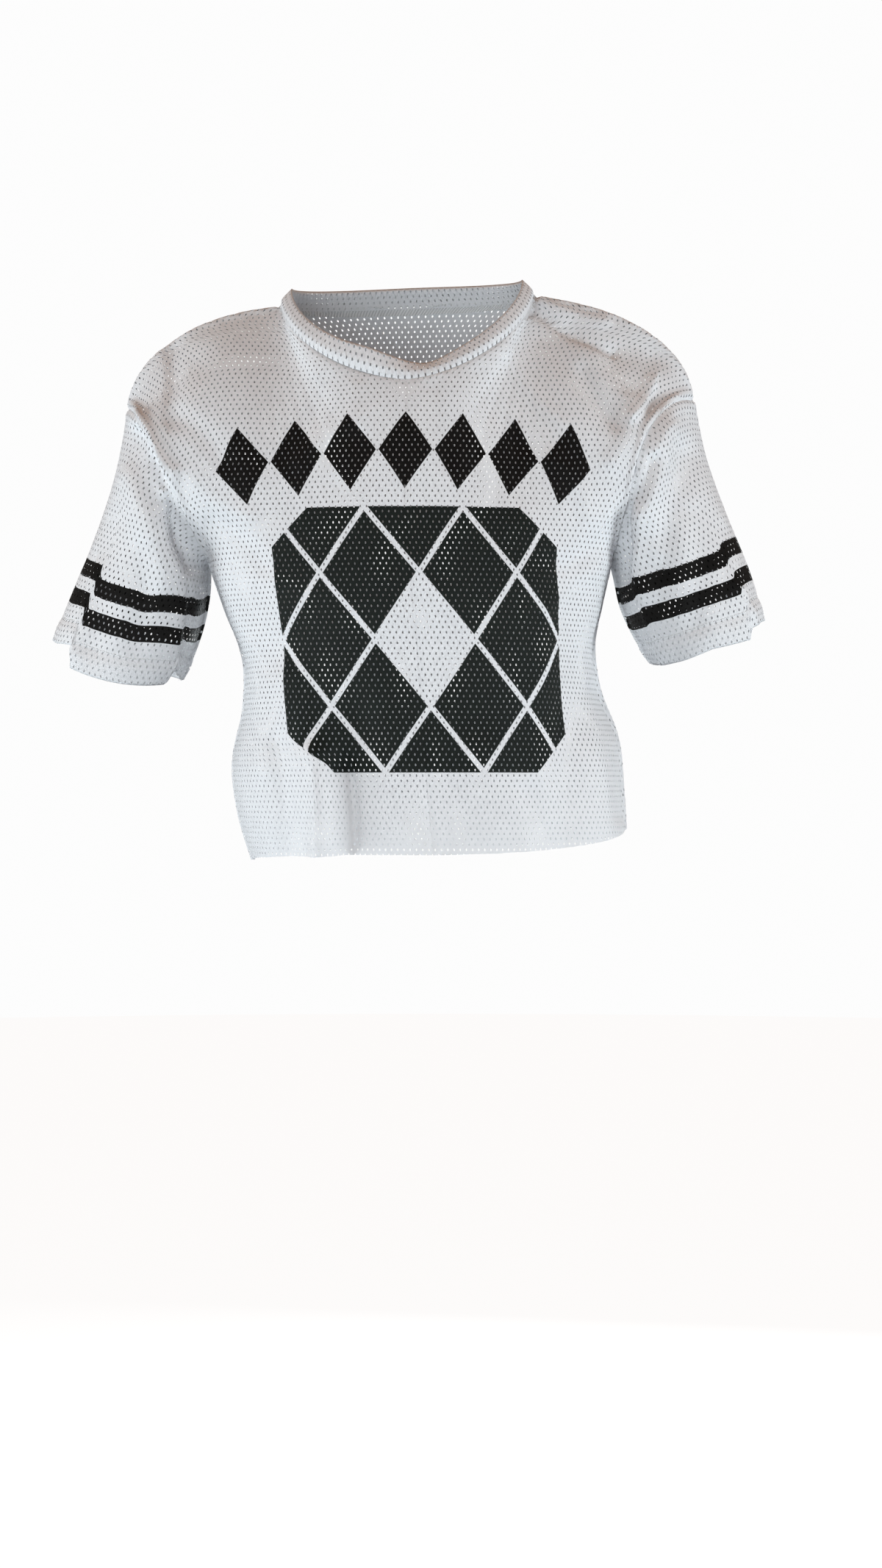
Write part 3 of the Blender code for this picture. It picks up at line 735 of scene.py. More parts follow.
def cut_out(net, outline):
    """Trims a flat net to an outline; holes on the line are left half open, as in raw-cut mesh."""
    place = vertex_places(net)
    inside = inside_outline(place, outline)
    corners = read_out(net.data.loops, "vertex_index", kind=int)
    starts = read_out(net.data.polygons, "loop_start", kind=int)
    kept = np.logical_or.reduceat(inside[corners], starts)
    place[~inside, :2] = onto_outline(place[~inside, :2], outline)
    set_places(net, place)
    select_only(net, ~kept, "FACE")
    bpy.ops.mesh.delete(type="FACE")
    bpy.ops.mesh.select_all(action="SELECT")
    bpy.ops.mesh.remove_doubles(threshold=MERGED)
    bpy.ops.mesh.dissolve_degenerate(threshold=VANISHED)
    bpy.ops.mesh.select_all(action="SELECT")
    bpy.ops.mesh.delete_loose()
    bpy.ops.object.mode_set(mode="OBJECT")


def cut_net(name, outline, shift, crease=None):
    """A flat net cut to an outline, with the flat places of its vertices."""
    net = flat_net(name + "_cloth", outline.min(axis=0), outline.max(axis=0), shift)
    if crease is not None:
        add_crease(net, crease)
    cut_out(net, outline)
    return net, vertex_places(net)[:, :2]


# %% Putting flat cloth on its worn form
FOLDED_GAP = 1.1         # from the outer layer of a turned hem to the inner one
FOLD_SPAN = 1.5          # the two layers of a fold part over this much cloth
UV_SPAN = {"front": 600, "back": 600, "sleeve_right": 460, "sleeve_left": 460, "neckband": 800}
UV_FOOT = 30             # room on the map for cloth below level 0
BELOW = 15               # this much cloth above an edge gives the way on below it


def reach(plan, edge, u, level):
    """How far the inner or outer edge of a piece lies from its middle line, on the side that u is on."""
    right, left = [np.interp(level, plan["levels"], plan[edge][half]) for half in ("right", "left")]
    return np.where(u < 0, right, left)


def worn_places(plan, u, level):
    """Worn place and outward direction of flat cloth; a level below 0 lies beyond the cuff's edge."""
    row, below = level / plan["step"], BELOW / plan["step"]
    inner, outer = [reach(plan, edge, u, np.maximum(level, 0)) for edge in ("inner", "outer")]
    share = np.clip((np.abs(u) - inner) / np.maximum(outer - inner, SHORTEST), 0, 1)
    place, normal = np.zeros((len(u), 3)), np.zeros((len(u), 3))
    for half, own in (("right", u < 0), ("left", u >= 0)):
        table = plan["halves"][half]
        down, along = row[own], share[own] * (table.shape[1] - 1)
        way_on = bilinear(table, 0 * down, along) - bilinear(table, 0 * down + below, along)
        beyond = np.maximum(-down, 0)[:, None] / below
        place[own] = bilinear(table, down, along) + way_on * beyond
        facing = grid_normals(table)
        centre = table.mean(axis=(0, 1)) * [1, 0, 1]
        sign = np.sign((facing * (table - centre)).sum(axis=-1).mean())
        normal[own] = unit(bilinear(facing, down, along)) * sign
    return place, normal


def write_uv(piece, uv):
    """Gives a piece one UV map, OFBake, from a place on it for each vertex."""
    layers = piece.data.uv_layers
    layers.new(name="OFBake")
    for other in [layer.name for layer in layers if layer.name != "OFBake"]:
        layers.remove(layers[other])
    corners = read_out(piece.data.loops, "vertex_index", kind=int)
    layers["OFBake"].data.foreach_set("uv", np.ascontiguousarray(uv[corners]).ravel())


def lay_uv(piece, flat, span):
    """A UV map that is the flat cloth itself, so that a print or a stripe is laid on it to measure."""
    write_uv(piece, pairs(flat[:, 0] / span + 0.5, (flat[:, 1] + UV_FOOT) / span))


SINK = 0.4               # the cloth lies a little inside the solid's face,
SINK_START = 1.5         # but two pieces that are sewn together share their line
SEAM_PAD = {"panel": 1.6, "sleeve": 0.5, "place": 5.5, "width": 2.8}   # a panel stands over its sleeve
SEAM_GROOVE = {"depth": 2.2, "width": 1.7}
BODY_AXIS = {"x": 110, "top": -160}     # seams are drawn in towards this line inside the garment


def seam_relief(distance, kind):
    """Beside a seam the allowance under the cloth pads it, so that the seam itself is a groove."""
    pad = SEAM_PAD[kind] * bell(distance - SEAM_PAD["place"], SEAM_PAD["width"])
    return pad - SINK * (1 - bell(distance, SINK_START))


def seam_groove(place, distance):
    """How far a seam is drawn in; it depends on the place alone, so both sides of a seam agree."""
    axis = points(np.clip(place[:, 0], -BODY_AXIS["x"], BODY_AXIS["x"]), 0.0,
                  np.minimum(place[:, 2], BODY_AXIS["top"]))
    depth = SEAM_GROOVE["depth"] * bell(distance, SEAM_GROOVE["width"])
    return unit(axis - place) * depth[:, None]


def finish_piece(piece, place, outward):
    """Sets the worn places, makes every face look outwards and shades the piece smoothly."""
    set_places(piece, place * MM)
    normals = read_out(piece.data.vertex_normals, "vector", 3)
    if (normals * outward).sum(axis=-1).mean() < 0:
        piece.data.flip_normals()
    piece.data.shade_smooth()


# %% Front and back
ROW_SHIFT = CUT_LENGTH % ROW_STEP       # in the middle the raw hem runs through a row of holes
NECK_DIP = {"depth": 1.0, "width": 3.0}    # the panel sinks under the neckband's edge
FAR = 99                                # no seam is near


def panel_net(face):
    plan = plans[face]
    net, flat = cut_net(face, plan["outline"], ROW_SHIFT)
    u, v = np.abs(flat[:, 0]), flat[:, 1]
    place, normal = worn_places(plan, flat[:, 0], v)
    side = reach(plan, "outer", flat[:, 0], v) - u
    shoulder = v - SHOULDER_DROP * (u - NECK_WIDTH) / (TOP_WIDTH - NECK_WIDTH)
    shoulder = np.where(u > NECK_WIDTH, shoulder, FAR)
    beside = np.maximum(u - reach(plan, "inner", flat[:, 0], v), 0)
    below = np.maximum(v - top_cut(face, flat[:, 0] / TOP_WIDTH), 0)
    neck = np.where(u < NECK_WIDTH, np.minimum(beside, below), beside)
    seam = np.minimum(np.maximum(side, 0), np.maximum(shoulder, 0))
    relief = seam_relief(seam, "panel") - NECK_DIP["depth"] * bell(neck, NECK_DIP["width"])
    lay_uv(net, flat, UV_SPAN[face])
    finish_piece(net, place + normal * relief[:, None] + seam_groove(place, seam), normal)
    print(net.name, len(net.data.vertices), "vertices")
    return net


made = {face: panel_net(face) for face in FACING}

# %% Sleeves
SLEEVES = ("sleeve_right", "sleeve_left")
CUFF_RIDGE = {"height": 0.9, "place": 11, "width": 7}
CUFF_STITCH = {"depth": -0.9, "place": CUFF_TURN, "width": 2.2}
# How much lower the worn cloth hangs at its cuff and at its printed bands, by place round the sleeve
# (0 is the outside of the arm, above it the front). It drops sharply at each lengthwise crease.
CUFF_DROP = {
    "sleeve_right": [
        ("u", "cuff", "band"),
        (-170, 0, 0), (0, 0, 0), (25, -6, -3), (47.5, -14, -6), (50.5, 3, 3), (90, 0, 1),
        (125, -3, 0), (140, -4, 0), (143, -16, -1.5), (158, -8, 0), (170, 0, 0),
    ],
    "sleeve_left": [
        ("u", "cuff", "band"),
        (-170, 0, 0), (0, -2, -1), (25, -5, -2), (45.5, -5, -2.5), (48.5, 3, 1.5), (85, -2, 0),
        (110, 0, 0), (134, 0, 0), (137, 0, 2), (170, 0, 4),
    ],
}
BAND_LEVEL = 55          # the middle of the printed bands
DROP_END = 160           # above this the cloth doesn't drop


def cuff_drop(name, u, level):
    table = CUFF_DROP[name]
    at_cuff, at_band = [np.interp(u, column(table, "u"), column(table, key)) for key in ("cuff", "band")]
    up = np.clip(level / BAND_LEVEL, 0, 1)
    fade = 1 - seam_fade(level - BAND_LEVEL, DROP_END - BAND_LEVEL)
    return (at_cuff + (at_band - at_cuff) * up) * fade


def sleeve_net(name):
    plan = plans[name]
    net, flat = cut_net(name, plan["outline"], ROW_STEP / 2, crease=0)
    u, level = np.abs(flat[:, 0]), np.abs(flat[:, 1])
    place, normal = worn_places(plan, flat[:, 0], level - cuff_drop(name, flat[:, 0], level))
    relief = CUFF_RIDGE["height"] * bell(level - CUFF_RIDGE["place"], CUFF_RIDGE["width"])
    relief += CUFF_STITCH["depth"] * bell(level - CUFF_STITCH["place"], CUFF_STITCH["width"])
    inner_layer = np.clip(-flat[:, 1] / FOLD_SPAN, 0, 1) * FOLDED_GAP
    beside = reach(plan, "outer", flat[:, 0], level) - u
    seam = np.maximum(np.minimum(beside, np.interp(u, *plan["cap"]) - level), 0)
    relief += seam_relief(seam, "sleeve") - inner_layer
    lay_uv(net, flat, UV_SPAN[name])
    outward = normal * np.where(flat[:, 1] < 0, -1.0, 1.0)[:, None]
    finish_piece(net, place + normal * relief[:, None] + seam_groove(place, seam), outward)
    print(net.name, len(net.data.vertices), "vertices")
    return net


for name in SLEEVES:
    made[name] = sleeve_net(name)

# %% [markdown]
# ## Neckband
#
# A strip of the same net is folded in half along its length and both raw edges are sewn to the
# neckline. The fold is the clean edge at the neck. Two layers hide each other's holes in part, so the
# band looks denser than the body.

# %% Neckband
BAND_LAYERS = 2.2        # from its outer layer to its inner one
BAND_INSIDE = 1.5        # how much further down the inner layer reaches than the outer one
BAND_SHIFT = BAND_WIDTH % ROW_STEP - ROW_STEP / 2    # puts the fold midway between two rows of holes
# Round the neck, from the right shoulder over the front (0.25) to the left one and on round the back:
# how wide the band shows and how far it leans up from level.
BAND_SHAPE = [
    ("around", "width", "lean"),
    (0.00, 16.5, 56),
    (0.08, 17.0, 60),
    (0.16, 20.0, 74),
    (0.20, 21.5, 78),
    (0.24, 19.5, 62),
    (0.28, 16.5, 42),
    (0.33, 16.0, 54),
    (0.40, 16.5, 60),
    (0.50, 16.5, 54),
    (0.75, 16.5, 62),
    (1.00, 16.5, 56),
]
# Across the band from its seam (0) to its fold (1): how far its outer layer stands out.
BAND_SECTION = [("up", "out"), (0.0, -1.2), (0.07, 0.5), (0.18, 1.7), (0.35, 1.9), (0.7, 1.0), (1.0, 0.0)]
BAND_STATIONS = 481
BAND_AHEAD = 0.001       # share of the way round that shows which way the band runs
BAND_JOIN = 0.0001       # the strip's two ends are sewn together, in metres
INNER_PUFF = 0.2         # how much of the outer layer's shape the inner one follows


def band_line(around, up):
    """Worn place of the band's outer layer; around 0 is the right shoulder, a quarter the front."""
    across = -np.cos(around * 2 * math.pi)
    front = around <= 0.5
    seam = np.where(front[..., None], neckline("front", across), neckline("back", across))
    lean = np.radians(read(BAND_SHAPE, "lean", around, "around"))
    inward = unit(-seam * np.array([1.0, 1.0, 0.0]))
    rise = inward * np.cos(lean)[..., None] + np.array([0.0, 0.0, 1.0]) * np.sin(lean)[..., None]
    return seam + rise * (up * read(BAND_SHAPE, "width", around, "around"))[..., None], rise


def band_net():
    fine = np.linspace(0, 1, BAND_STATIONS)
    seam, _ = band_line(fine, np.full_like(fine, 0.5))
    length = running(step_lengths(seam))
    columns = round(length[-1] / (2 * HOLE_STEP)) * 2
    width, depth = columns * HOLE_STEP, 2 * BAND_WIDTH + BAND_INSIDE
    outline = np.array([(0, 0), (width, 0), (width, depth), (0, depth)])
    net, flat = cut_net("neckband", outline, BAND_SHIFT, crease=BAND_WIDTH)
    v = flat[:, 1]
    around = np.interp(flat[:, 0] * (length[-1] / width), length, fine)
    up = np.where(v < BAND_WIDTH, v, 2 * BAND_WIDTH - v) / BAND_WIDTH
    place, rise = band_line(around, up)
    ahead, _ = band_line(np.clip(around + BAND_AHEAD, 0, 1), up)
    behind, _ = band_line(np.clip(around - BAND_AHEAD, 0, 1), up)
    normal = unit(np.cross(unit(ahead - behind), rise))
    normal *= np.sign((normal * (place * [1, 1, 0])).sum(axis=-1).mean())
    puff = read(BAND_SECTION, "out", up, "up")
    inner = v > BAND_WIDTH
    layer = BAND_LAYERS * np.clip((v - BAND_WIDTH) / FOLD_SPAN, 0, 1)
    lay_uv(net, flat - [width / 2, 0], UV_SPAN["neckband"])
    offset = np.where(inner, puff * INNER_PUFF - layer, puff)
    finish_piece(net, place + normal * offset[:, None], normal * np.where(inner, -1.0, 1.0)[:, None])
    select_only(net, np.ones(len(net.data.vertices)), "VERT")
    bpy.ops.mesh.remove_doubles(threshold=BAND_JOIN)
    bpy.ops.object.mode_set(mode="OBJECT")
    print("the band's strip is", round(float(length[-1])), "by", depth, "mm")
    return net, float(length[-1])


made["neckband"], BAND_LENGTH = band_net()

# %% [markdown]
# ## Seam allowances and stitches
#
# The pieces are joined with overlocked seams: inside, each has an allowance 8 mm deep, bound over its
# edge with thread. It is seen through the neck and through the holes. Each is a narrow grid, laid just
# inside the cloth from the same cutting plans. Round each cuff a row of stitches holds the turned hem;
# one stitch is modelled and copied round.

# %% Seam allowances
ALLOWANCE = 8            # depth of a seam allowance, in millimetres
ALLOWANCE_COLUMNS = 4
ALLOWANCE_INSIDE = 1.5   # how far it lies inside the cloth
ALLOWANCE_START = 2      # over this far from its seam it leaves the cloth
ALLOWANCE_STEP = 4       # between its stations along the seam
SEAM_POINTS = {"side": 60, "underarm": 30}
TAPE_UV = {"length": 1000, "width": 20, "rows": 6, "margin": 1}
UNDERARM_LEVEL = 256     # where the back's armhole ends and its side seam starts


def allowance(name, plan, line, into, row, groove=1.0):
    """One seam allowance: line is the seam on flat cloth, and into the flat direction away from it.

    Row is its row on the tapes' UV map, and groove is 0 where no groove runs along the seam.
    """
    length = running(step_lengths(line))
    stations = max(round(length[-1] / ALLOWANCE_STEP), 2)
    tape = grid_object(name, stations, ALLOWANCE_COLUMNS)
    place = vertex_places(tape)
    along, deep = place[:, 0] * length[-1] / stations, place[:, 1] * ALLOWANCE / ALLOWANCE_COLUMNS
    flat = pairs(*[np.interp(along, length, line[:, k]) for k in range(2)])
    flat = flat + np.array(into) * deep[:, None]
    worn, normal = worn_places(plan, flat[:, 0], flat[:, 1])
    inside = ALLOWANCE_INSIDE * np.clip(deep / ALLOWANCE_START + 1 - groove, 0, 1)
    lift = seam_relief(deep, "sleeve" if "cap" in plan else "panel") * groove - inside
    rows = TAPE_UV["rows"]
    across = (deep + TAPE_UV["margin"]) / (TAPE_UV["width"] * rows) + row / rows
    write_uv(tape, pairs(along / TAPE_UV["length"], across))
    finish_piece(tape, worn + normal * lift[:, None] + seam_groove(worn, deep) * groove, -normal)
    return tape


def joined(name, pieces):
    bpy.ops.object.select_all(action="DESELECT")
    for piece in pieces:
        piece.select_set(True)
    bpy.context.view_layer.objects.active = pieces[0]
    bpy.ops.object.join()
    print(name, "is joined from", len(pieces), "pieces")
    return rename(pieces[0], name)


def side_line(plan, sign, levels):
    """The outer edge of one half of a piece, on flat cloth."""
    return pairs(sign * reach(plan, "outer", np.full_like(levels, sign), levels), levels)


def body_allowances():
    """Shoulder and side seams and the back neckline, on the inside of the back."""
    plan, tapes = plans["back"], []
    for sign in (-1, 1):
        shoulder = np.array([(sign * NECK_WIDTH, 0), (sign * TOP_WIDTH, SHOULDER_DROP)], dtype=float)
        levels = np.linspace(UNDERARM_LEVEL, plan["corner"][sign], SEAM_POINTS["side"])
        tapes += [allowance("shoulder_tape", plan, shoulder, (0, 1), len(tapes)),
                  allowance("side_tape", plan, side_line(plan, sign, levels), (-sign, 0), len(tapes) + 1)]
    tapes.append(neck_allowance("back", len(tapes)))
    return joined("body_allowances", tapes)


def neck_allowance(face, row):
    """The neckline's allowance, which lies flat inside the panel."""
    outline = plans[face]["outline"]
    line = outline[(np.abs(outline[:, 0]) <= NECK_WIDTH) & (outline[:, 1] <= NECK_DROP[face])]
    line = line[line[:, 0].argsort()]
    return allowance("neck_tape", plans[face], line, (0, 1), row, groove=0.0)


def sleeve_allowances(name):
    """The seam round the armhole and the one under the arm, on the inside of a sleeve."""
    plan = plans[name]
    outline = plan["outline"]
    half = outline[(outline[:, 0] > 0) & (outline[:, 1] > 0)]
    underarm = half[half[:, 0].argmax(), 1]
    cap = outline[outline[:, 1] >= underarm]
    cap = cap[cap[:, 0].argsort()]
    tapes = [allowance("armhole_tape", plan, cap, (0, -1), 0)]
    levels = np.linspace(1, underarm, SEAM_POINTS["underarm"])
    for sign in (-1, 1):
        tapes.append(allowance("underarm_tape", plan, side_line(plan, sign, levels), (-sign, 0), len(tapes)))
    return joined(name + "_allowances", tapes)


sewn = {"front": [neck_allowance("front", 0)], "back": [body_allowances()]}
rename(sewn["front"][0], "neck_allowance")
for name in SLEEVES:
    sewn[name] = [sleeve_allowances(name)]

# %% Cuff stitches
STITCH = {"length": 2.3, "step": 3.4, "thick": 0.5, "proud": 0.1, "sides": 6}
STITCH_MARGIN = 2        # from the seam under the arm to the first stitch
STITCH_AHEAD = 0.5       # this far on along the cuff shows which way a stitch runs


def stitch_shape():
    """One stitch: a short thread with rounded ends, along X."""
    bpy.ops.object.select_all(action="DESELECT")
    bpy.ops.mesh.primitive_cylinder_add(vertices=STITCH["sides"], radius=STITCH["thick"] / 2,
                                        depth=STITCH["length"])
    stitch = bpy.context.object
    bpy.ops.object.mode_set(mode="EDIT")
    bpy.ops.mesh.select_all(action="SELECT")
    bpy.ops.transform.rotate(value=math.pi / 2, orient_axis="Y", center_override=(0, 0, 0))
    bpy.ops.object.mode_set(mode="OBJECT")
    ends = [len(face.vertices) == STITCH["sides"] for face in stitch.data.polygons]
    select_only(stitch, ends, "FACE")
    bpy.ops.mesh.inset(thickness=STITCH["thick"] / 4)
    bpy.ops.object.mode_set(mode="OBJECT")
    return stitch


def cuff_stitches(name):
    plan = plans[name]
    half = float(reach(plan, "outer", np.array([1.0]), np.array([CUFF_TURN]))[0])
    template = stitch_shape()
    shape = vertex_places(template)
    stitches = []
    for u in np.arange(-half + STITCH_MARGIN, half - STITCH_MARGIN, STITCH["step"]):
        at = np.array([u, u + STITCH_AHEAD])
        level = CUFF_TURN - cuff_drop(name, at, np.full(2, float(CUFF_TURN)))
        place, normal = worn_places(plan, at, level)
        along = unit(place[1] - place[0])
        across = unit(np.cross(normal[0], along))
        base = place[0] + normal[0] * (CUFF_STITCH["depth"] + STITCH["proud"])
        copy = template.copy()
        copy.data = template.data.copy()
        bpy.context.collection.objects.link(copy)
        set_places(copy, (base + shape @ np.array([along, across, normal[0]])) * MM)
        copy.data.shade_smooth()
        stitches.append(copy)
    bpy.data.objects.remove(template)
    return joined(name + "_stitches", stitches)


for name in SLEEVES:
    sewn[name].append(cuff_stitches(name))

# %% [markdown]
# ## Materials
#
# Everything is one cloth, so all the materials share a knit relief and a slight unevenness of white,
# which a node group makes. What differs is what is printed on it, and that is worked out on the flat
# cloth in millimetres. Thread has a material of its own.

# %% Node helpers
def add_node(tree, kind, inputs=None, **settings):
    """A shader node with its settings; each input is a number, a colour or another node's output."""
    node = tree.nodes.new("ShaderNode" + kind)
    for name, value in settings.items():
        setattr(node, name, value)
    for key, value in (inputs or {}).items():
        if isinstance(value, bpy.types.NodeSocket):
            tree.links.new(value, node.inputs[key])
        else:
            node.inputs[key].default_value = value
    return node


def calc(tree, operation, *values):
    """One Math node."""
    return add_node(tree, "Math", dict(enumerate(values)), operation=operation).outputs[0]


def mix(tree, factor, first, second):
    inputs = {"Factor": factor, "A": first, "B": second}
    return add_node(tree, "Mix", inputs, data_type="RGBA").outputs["Result"]


def product(tree, *masks):
    total = masks[0]
    for mask in masks[1:]:
        total = calc(tree, "MULTIPLY", total, mask)
    return total


def between(tree, value, low, high, soft=0.35):
    """1 where a value lies between two others, with an edge a little softer than a step."""
    inside = calc(tree, "MINIMUM", calc(tree, "SUBTRACT", value, low), calc(tree, "SUBTRACT", high, value))
    return add_node(tree, "Clamp", {0: calc(tree, "MULTIPLY_ADD", inside, 1 / soft, 0.5)}).outputs[0]


def new_group(name, outputs):
    """A node group that takes a flat place; gives its tree, the place with its u and v, and its end."""
    tree = bpy.data.node_groups.new(name, "ShaderNodeTree")
    tree.interface.new_socket(name="Place", in_out="INPUT", socket_type="NodeSocketVector")
    for title in outputs:
        tree.interface.new_socket(name=title, in_out="OUTPUT", socket_type="NodeSocketFloat")
    place = tree.nodes.new("NodeGroupInput").outputs["Place"]
    split = add_node(tree, "SeparateXYZ", {0: place})
    return tree, place, split.outputs[0], split.outputs[1], tree.nodes.new("NodeGroupOutput")


def new_material(name, sockets):
    """A material, its node tree and its shader, with some of the shader's sockets set."""
    material = bpy.data.materials.new(name)
    material.use_nodes = True
    shader = material.node_tree.nodes["Principled BSDF"]
    for title, value in sockets.items():
        shader.inputs[title].default_value = value
    return material, material.node_tree, shader


def flat_place(tree, scale, offset=(0, 0, 0)):
    """The place on flat cloth, in millimetres, from the UV map."""
    uv = add_node(tree, "UVMap", uv_map="OFBake").outputs[0]
    return add_node(tree, "VectorMath", {0: uv, 1: scale, 2: offset}, operation="MULTIPLY_ADD").outputs[0]


def colour_and_bump(tree, shader, colour, height, sizes):
    tree.links.new(colour, shader.inputs["Base Color"])
    bump = add_node(tree, "Bump", {"Height": height, **sizes})
    tree.links.new(bump.outputs[0], shader.inputs["Normal"])


# %% Knit relief
KNIT = {"wale": 0.65, "loop": 0.52, "loop_height": 0.35}    # a wale and a loop, in millimetres
UNEVENNESS = {"Scale": 0.045, "Detail": 3.0}


def knit_group():
    """Fine upright wales crossed by loops, as a height, and a broad unevenness as a mask."""
    tree, place, u, v, end = new_group("knit", ["Height", "Unevenness"])
    wale = calc(tree, "SINE", calc(tree, "MULTIPLY", u, 2 * math.pi / KNIT["wale"]))
    loop = calc(tree, "SINE", calc(tree, "MULTIPLY", v, 2 * math.pi / KNIT["loop"]))
    height = calc(tree, "ADD", wale, calc(tree, "MULTIPLY", loop, KNIT["loop_height"]))
    tree.links.new(height, end.inputs["Height"])
    noise = add_node(tree, "TexNoise", {**UNEVENNESS, "Vector": place})
    tree.links.new(noise.outputs["Fac"], end.inputs["Unevenness"])
    return tree


knit = knit_group()

# %% Printed shapes
DIAMOND_ROW = {"radius": 800, "v": 163, "step": 47, "half_width": 22.5, "half_height": 35, "count": 3}
LATTICE = {"u": 8, "v": 329, "half_width": 124, "half_height": 115, "columns": 3, "rows": 2,
           "line": 0.034, "corner": 34}
DIAMOND_SOFT = 0.02      # softness of an edge, as a share of a diamond of the row,
LINE_SOFT = 0.006        # and of one of the block
ANY = 9                  # a limit that no value comes near from the side that counts


def diamond_row(tree, u, v):
    """A row of diamonds along an arc."""
    do, row = partial(calc, tree), DIAMOND_ROW
    below = do("SUBTRACT", row["v"] + row["radius"], v)
    along = do("MULTIPLY", do("ARCTAN2", u, below), row["radius"])
    from_centre = do("SQRT", do("ADD", do("MULTIPLY", u, u), do("MULTIPLY", below, below)))
    out = do("SUBTRACT", from_centre, row["radius"])
    number = do("ROUND", do("DIVIDE", along, row["step"]))
    aside = do("SUBTRACT", along, do("MULTIPLY", number, row["step"]))
    size = do("ADD", do("DIVIDE", do("ABSOLUTE", aside), row["half_width"]),
              do("DIVIDE", do("ABSOLUTE", out), row["half_height"]))
    return product(tree, between(tree, size, -1.0, 1.0, DIAMOND_SOFT),
                   between(tree, number, -row["count"] - 0.5, row["count"] + 0.5))


def diamond_block(tree, u, v):
    """A block with cut corners: diamonds between pale lines, with the middle one left pale."""
    do, block = partial(calc, tree), LATTICE
    aside, off = do("SUBTRACT", u, block["u"]), do("SUBTRACT", v, block["v"])
    across = do("DIVIDE", aside, 2 * block["half_width"] / block["columns"])
    down = do("DIVIDE", off, 2 * block["half_height"] / block["rows"])
    lines = [do("PINGPONG", do("ADD", do(way, across, down), 0.5), 0.5) for way in ("ADD", "SUBTRACT")]
    side, tall = do("ABSOLUTE", aside), do("ABSOLUTE", off)
    corner = block["half_width"] + block["half_height"] - block["corner"]
    window = do("ADD", do("ABSOLUTE", across), do("ABSOLUTE", down))
    return product(tree, *[between(tree, line, block["line"], ANY, LINE_SOFT) for line in lines],
                   between(tree, side, -ANY, block["half_width"]),
                   between(tree, tall, -ANY, block["half_height"]),
                   between(tree, do("ADD", side, tall), -ANY, corner),
                   between(tree, window, 0.5, ANY, LINE_SOFT))


def print_group():
    """Two masks on flat cloth, one for each colour of ink."""
    tree, _, u, v, end = new_group("front_print", ["Row", "Block"])
    tree.links.new(diamond_row(tree, u, v), end.inputs["Row"])
    tree.links.new(diamond_block(tree, u, v), end.inputs["Block"])
    return tree


front_print = print_group()

# %% Cloth materials
WHITE = (0.79, 0.795, 0.815, 1.0)
SHADE = (0.71, 0.715, 0.74, 1.0)
INK_BLACK = (0.004, 0.0036, 0.0033, 1.0)
INK_GREEN = (0.009, 0.012, 0.0105, 1.0)
INK_ROUGHNESS = -0.2     # ink is this much smoother than cloth
CLOTH = {"Roughness": 0.78, "Sheen Weight": 0.02, "Specular IOR Level": 0.08}
CLOTH_BUMP = {"Strength": 0.35, "Distance": 0.0002}
SLEEVE_BANDS = [("low", "high"), (36, 50), (61, 75)]


def front_inks(tree, place, colour):
    shapes = add_node(tree, "Group", {"Place": place}, node_tree=front_print).outputs
    colour = mix(tree, shapes["Block"], colour, INK_GREEN)
    colour = mix(tree, shapes["Row"], colour, INK_BLACK)
    return colour, calc(tree, "MAXIMUM", shapes["Block"], shapes["Row"])


def band_inks(tree, place, colour):
    """Two dark bands round a sleeve."""
    level = add_node(tree, "SeparateXYZ", {0: place}).outputs[1]
    ink = calc(tree, "MAXIMUM", *[between(tree, level, low, high) for low, high in SLEEVE_BANDS[1:]])
    return mix(tree, ink, colour, INK_BLACK), ink


def cloth_material(name, span, printed=None):
    """The white net; printed adds inks from the flat place and returns the colour and an ink mask."""
    material, tree, shader = new_material(name, CLOTH)
    place = flat_place(tree, (span, span, 0), (-span / 2, -UV_FOOT, 0))
    cloth = add_node(tree, "Group", {"Place": place}, node_tree=knit).outputs
    colour = mix(tree, cloth["Unevenness"], SHADE, WHITE)
    if printed:
        colour, ink = printed(tree, place, colour)
        rough = calc(tree, "MULTIPLY_ADD", ink, INK_ROUGHNESS, CLOTH["Roughness"])
        tree.links.new(rough, shader.inputs["Roughness"])
    colour_and_bump(tree, shader, colour, cloth["Height"], CLOTH_BUMP)
    return material


INKS = {"front": front_inks, "sleeve_right": band_inks, "sleeve_left": band_inks}
for name, piece in made.items():
    piece.data.materials.clear()
    piece.data.materials.append(cloth_material(name + "_net", UV_SPAN[name], INKS.get(name)))

# %% Thread
OVERLOCK = {"pitch": 2.2, "slant": 0.5}
THREAD = (0.80, 0.80, 0.80, 1.0)
# The darker thread colour is painted into the hollows of the thread's relief: painted shade.
THREAD_PAINTED_SHADE = (0.55, 0.55, 0.56, 1.0)
THREAD_SHADER = {"Roughness": 0.6, "Specular IOR Level": 0.3}
THREAD_BUMP = {"Strength": 0.5, "Distance": 0.0004}
THREAD_TWIST = 4000      # scale of a stitch's unevenness


def overlock_group():
    """Threads wrapped aslant over an edge, as a height, from the place along and across it in mm."""
    tree, _, u, v, end = new_group("overlock", ["Height"])
    slant = calc(tree, "MULTIPLY_ADD", v, OVERLOCK["slant"], u)
    turn = calc(tree, "SINE", calc(tree, "MULTIPLY", slant, 2 * math.pi / OVERLOCK["pitch"]))
    tree.links.new(calc(tree, "MULTIPLY_ADD", turn, 0.5, 0.5), end.inputs["Height"])
    return tree


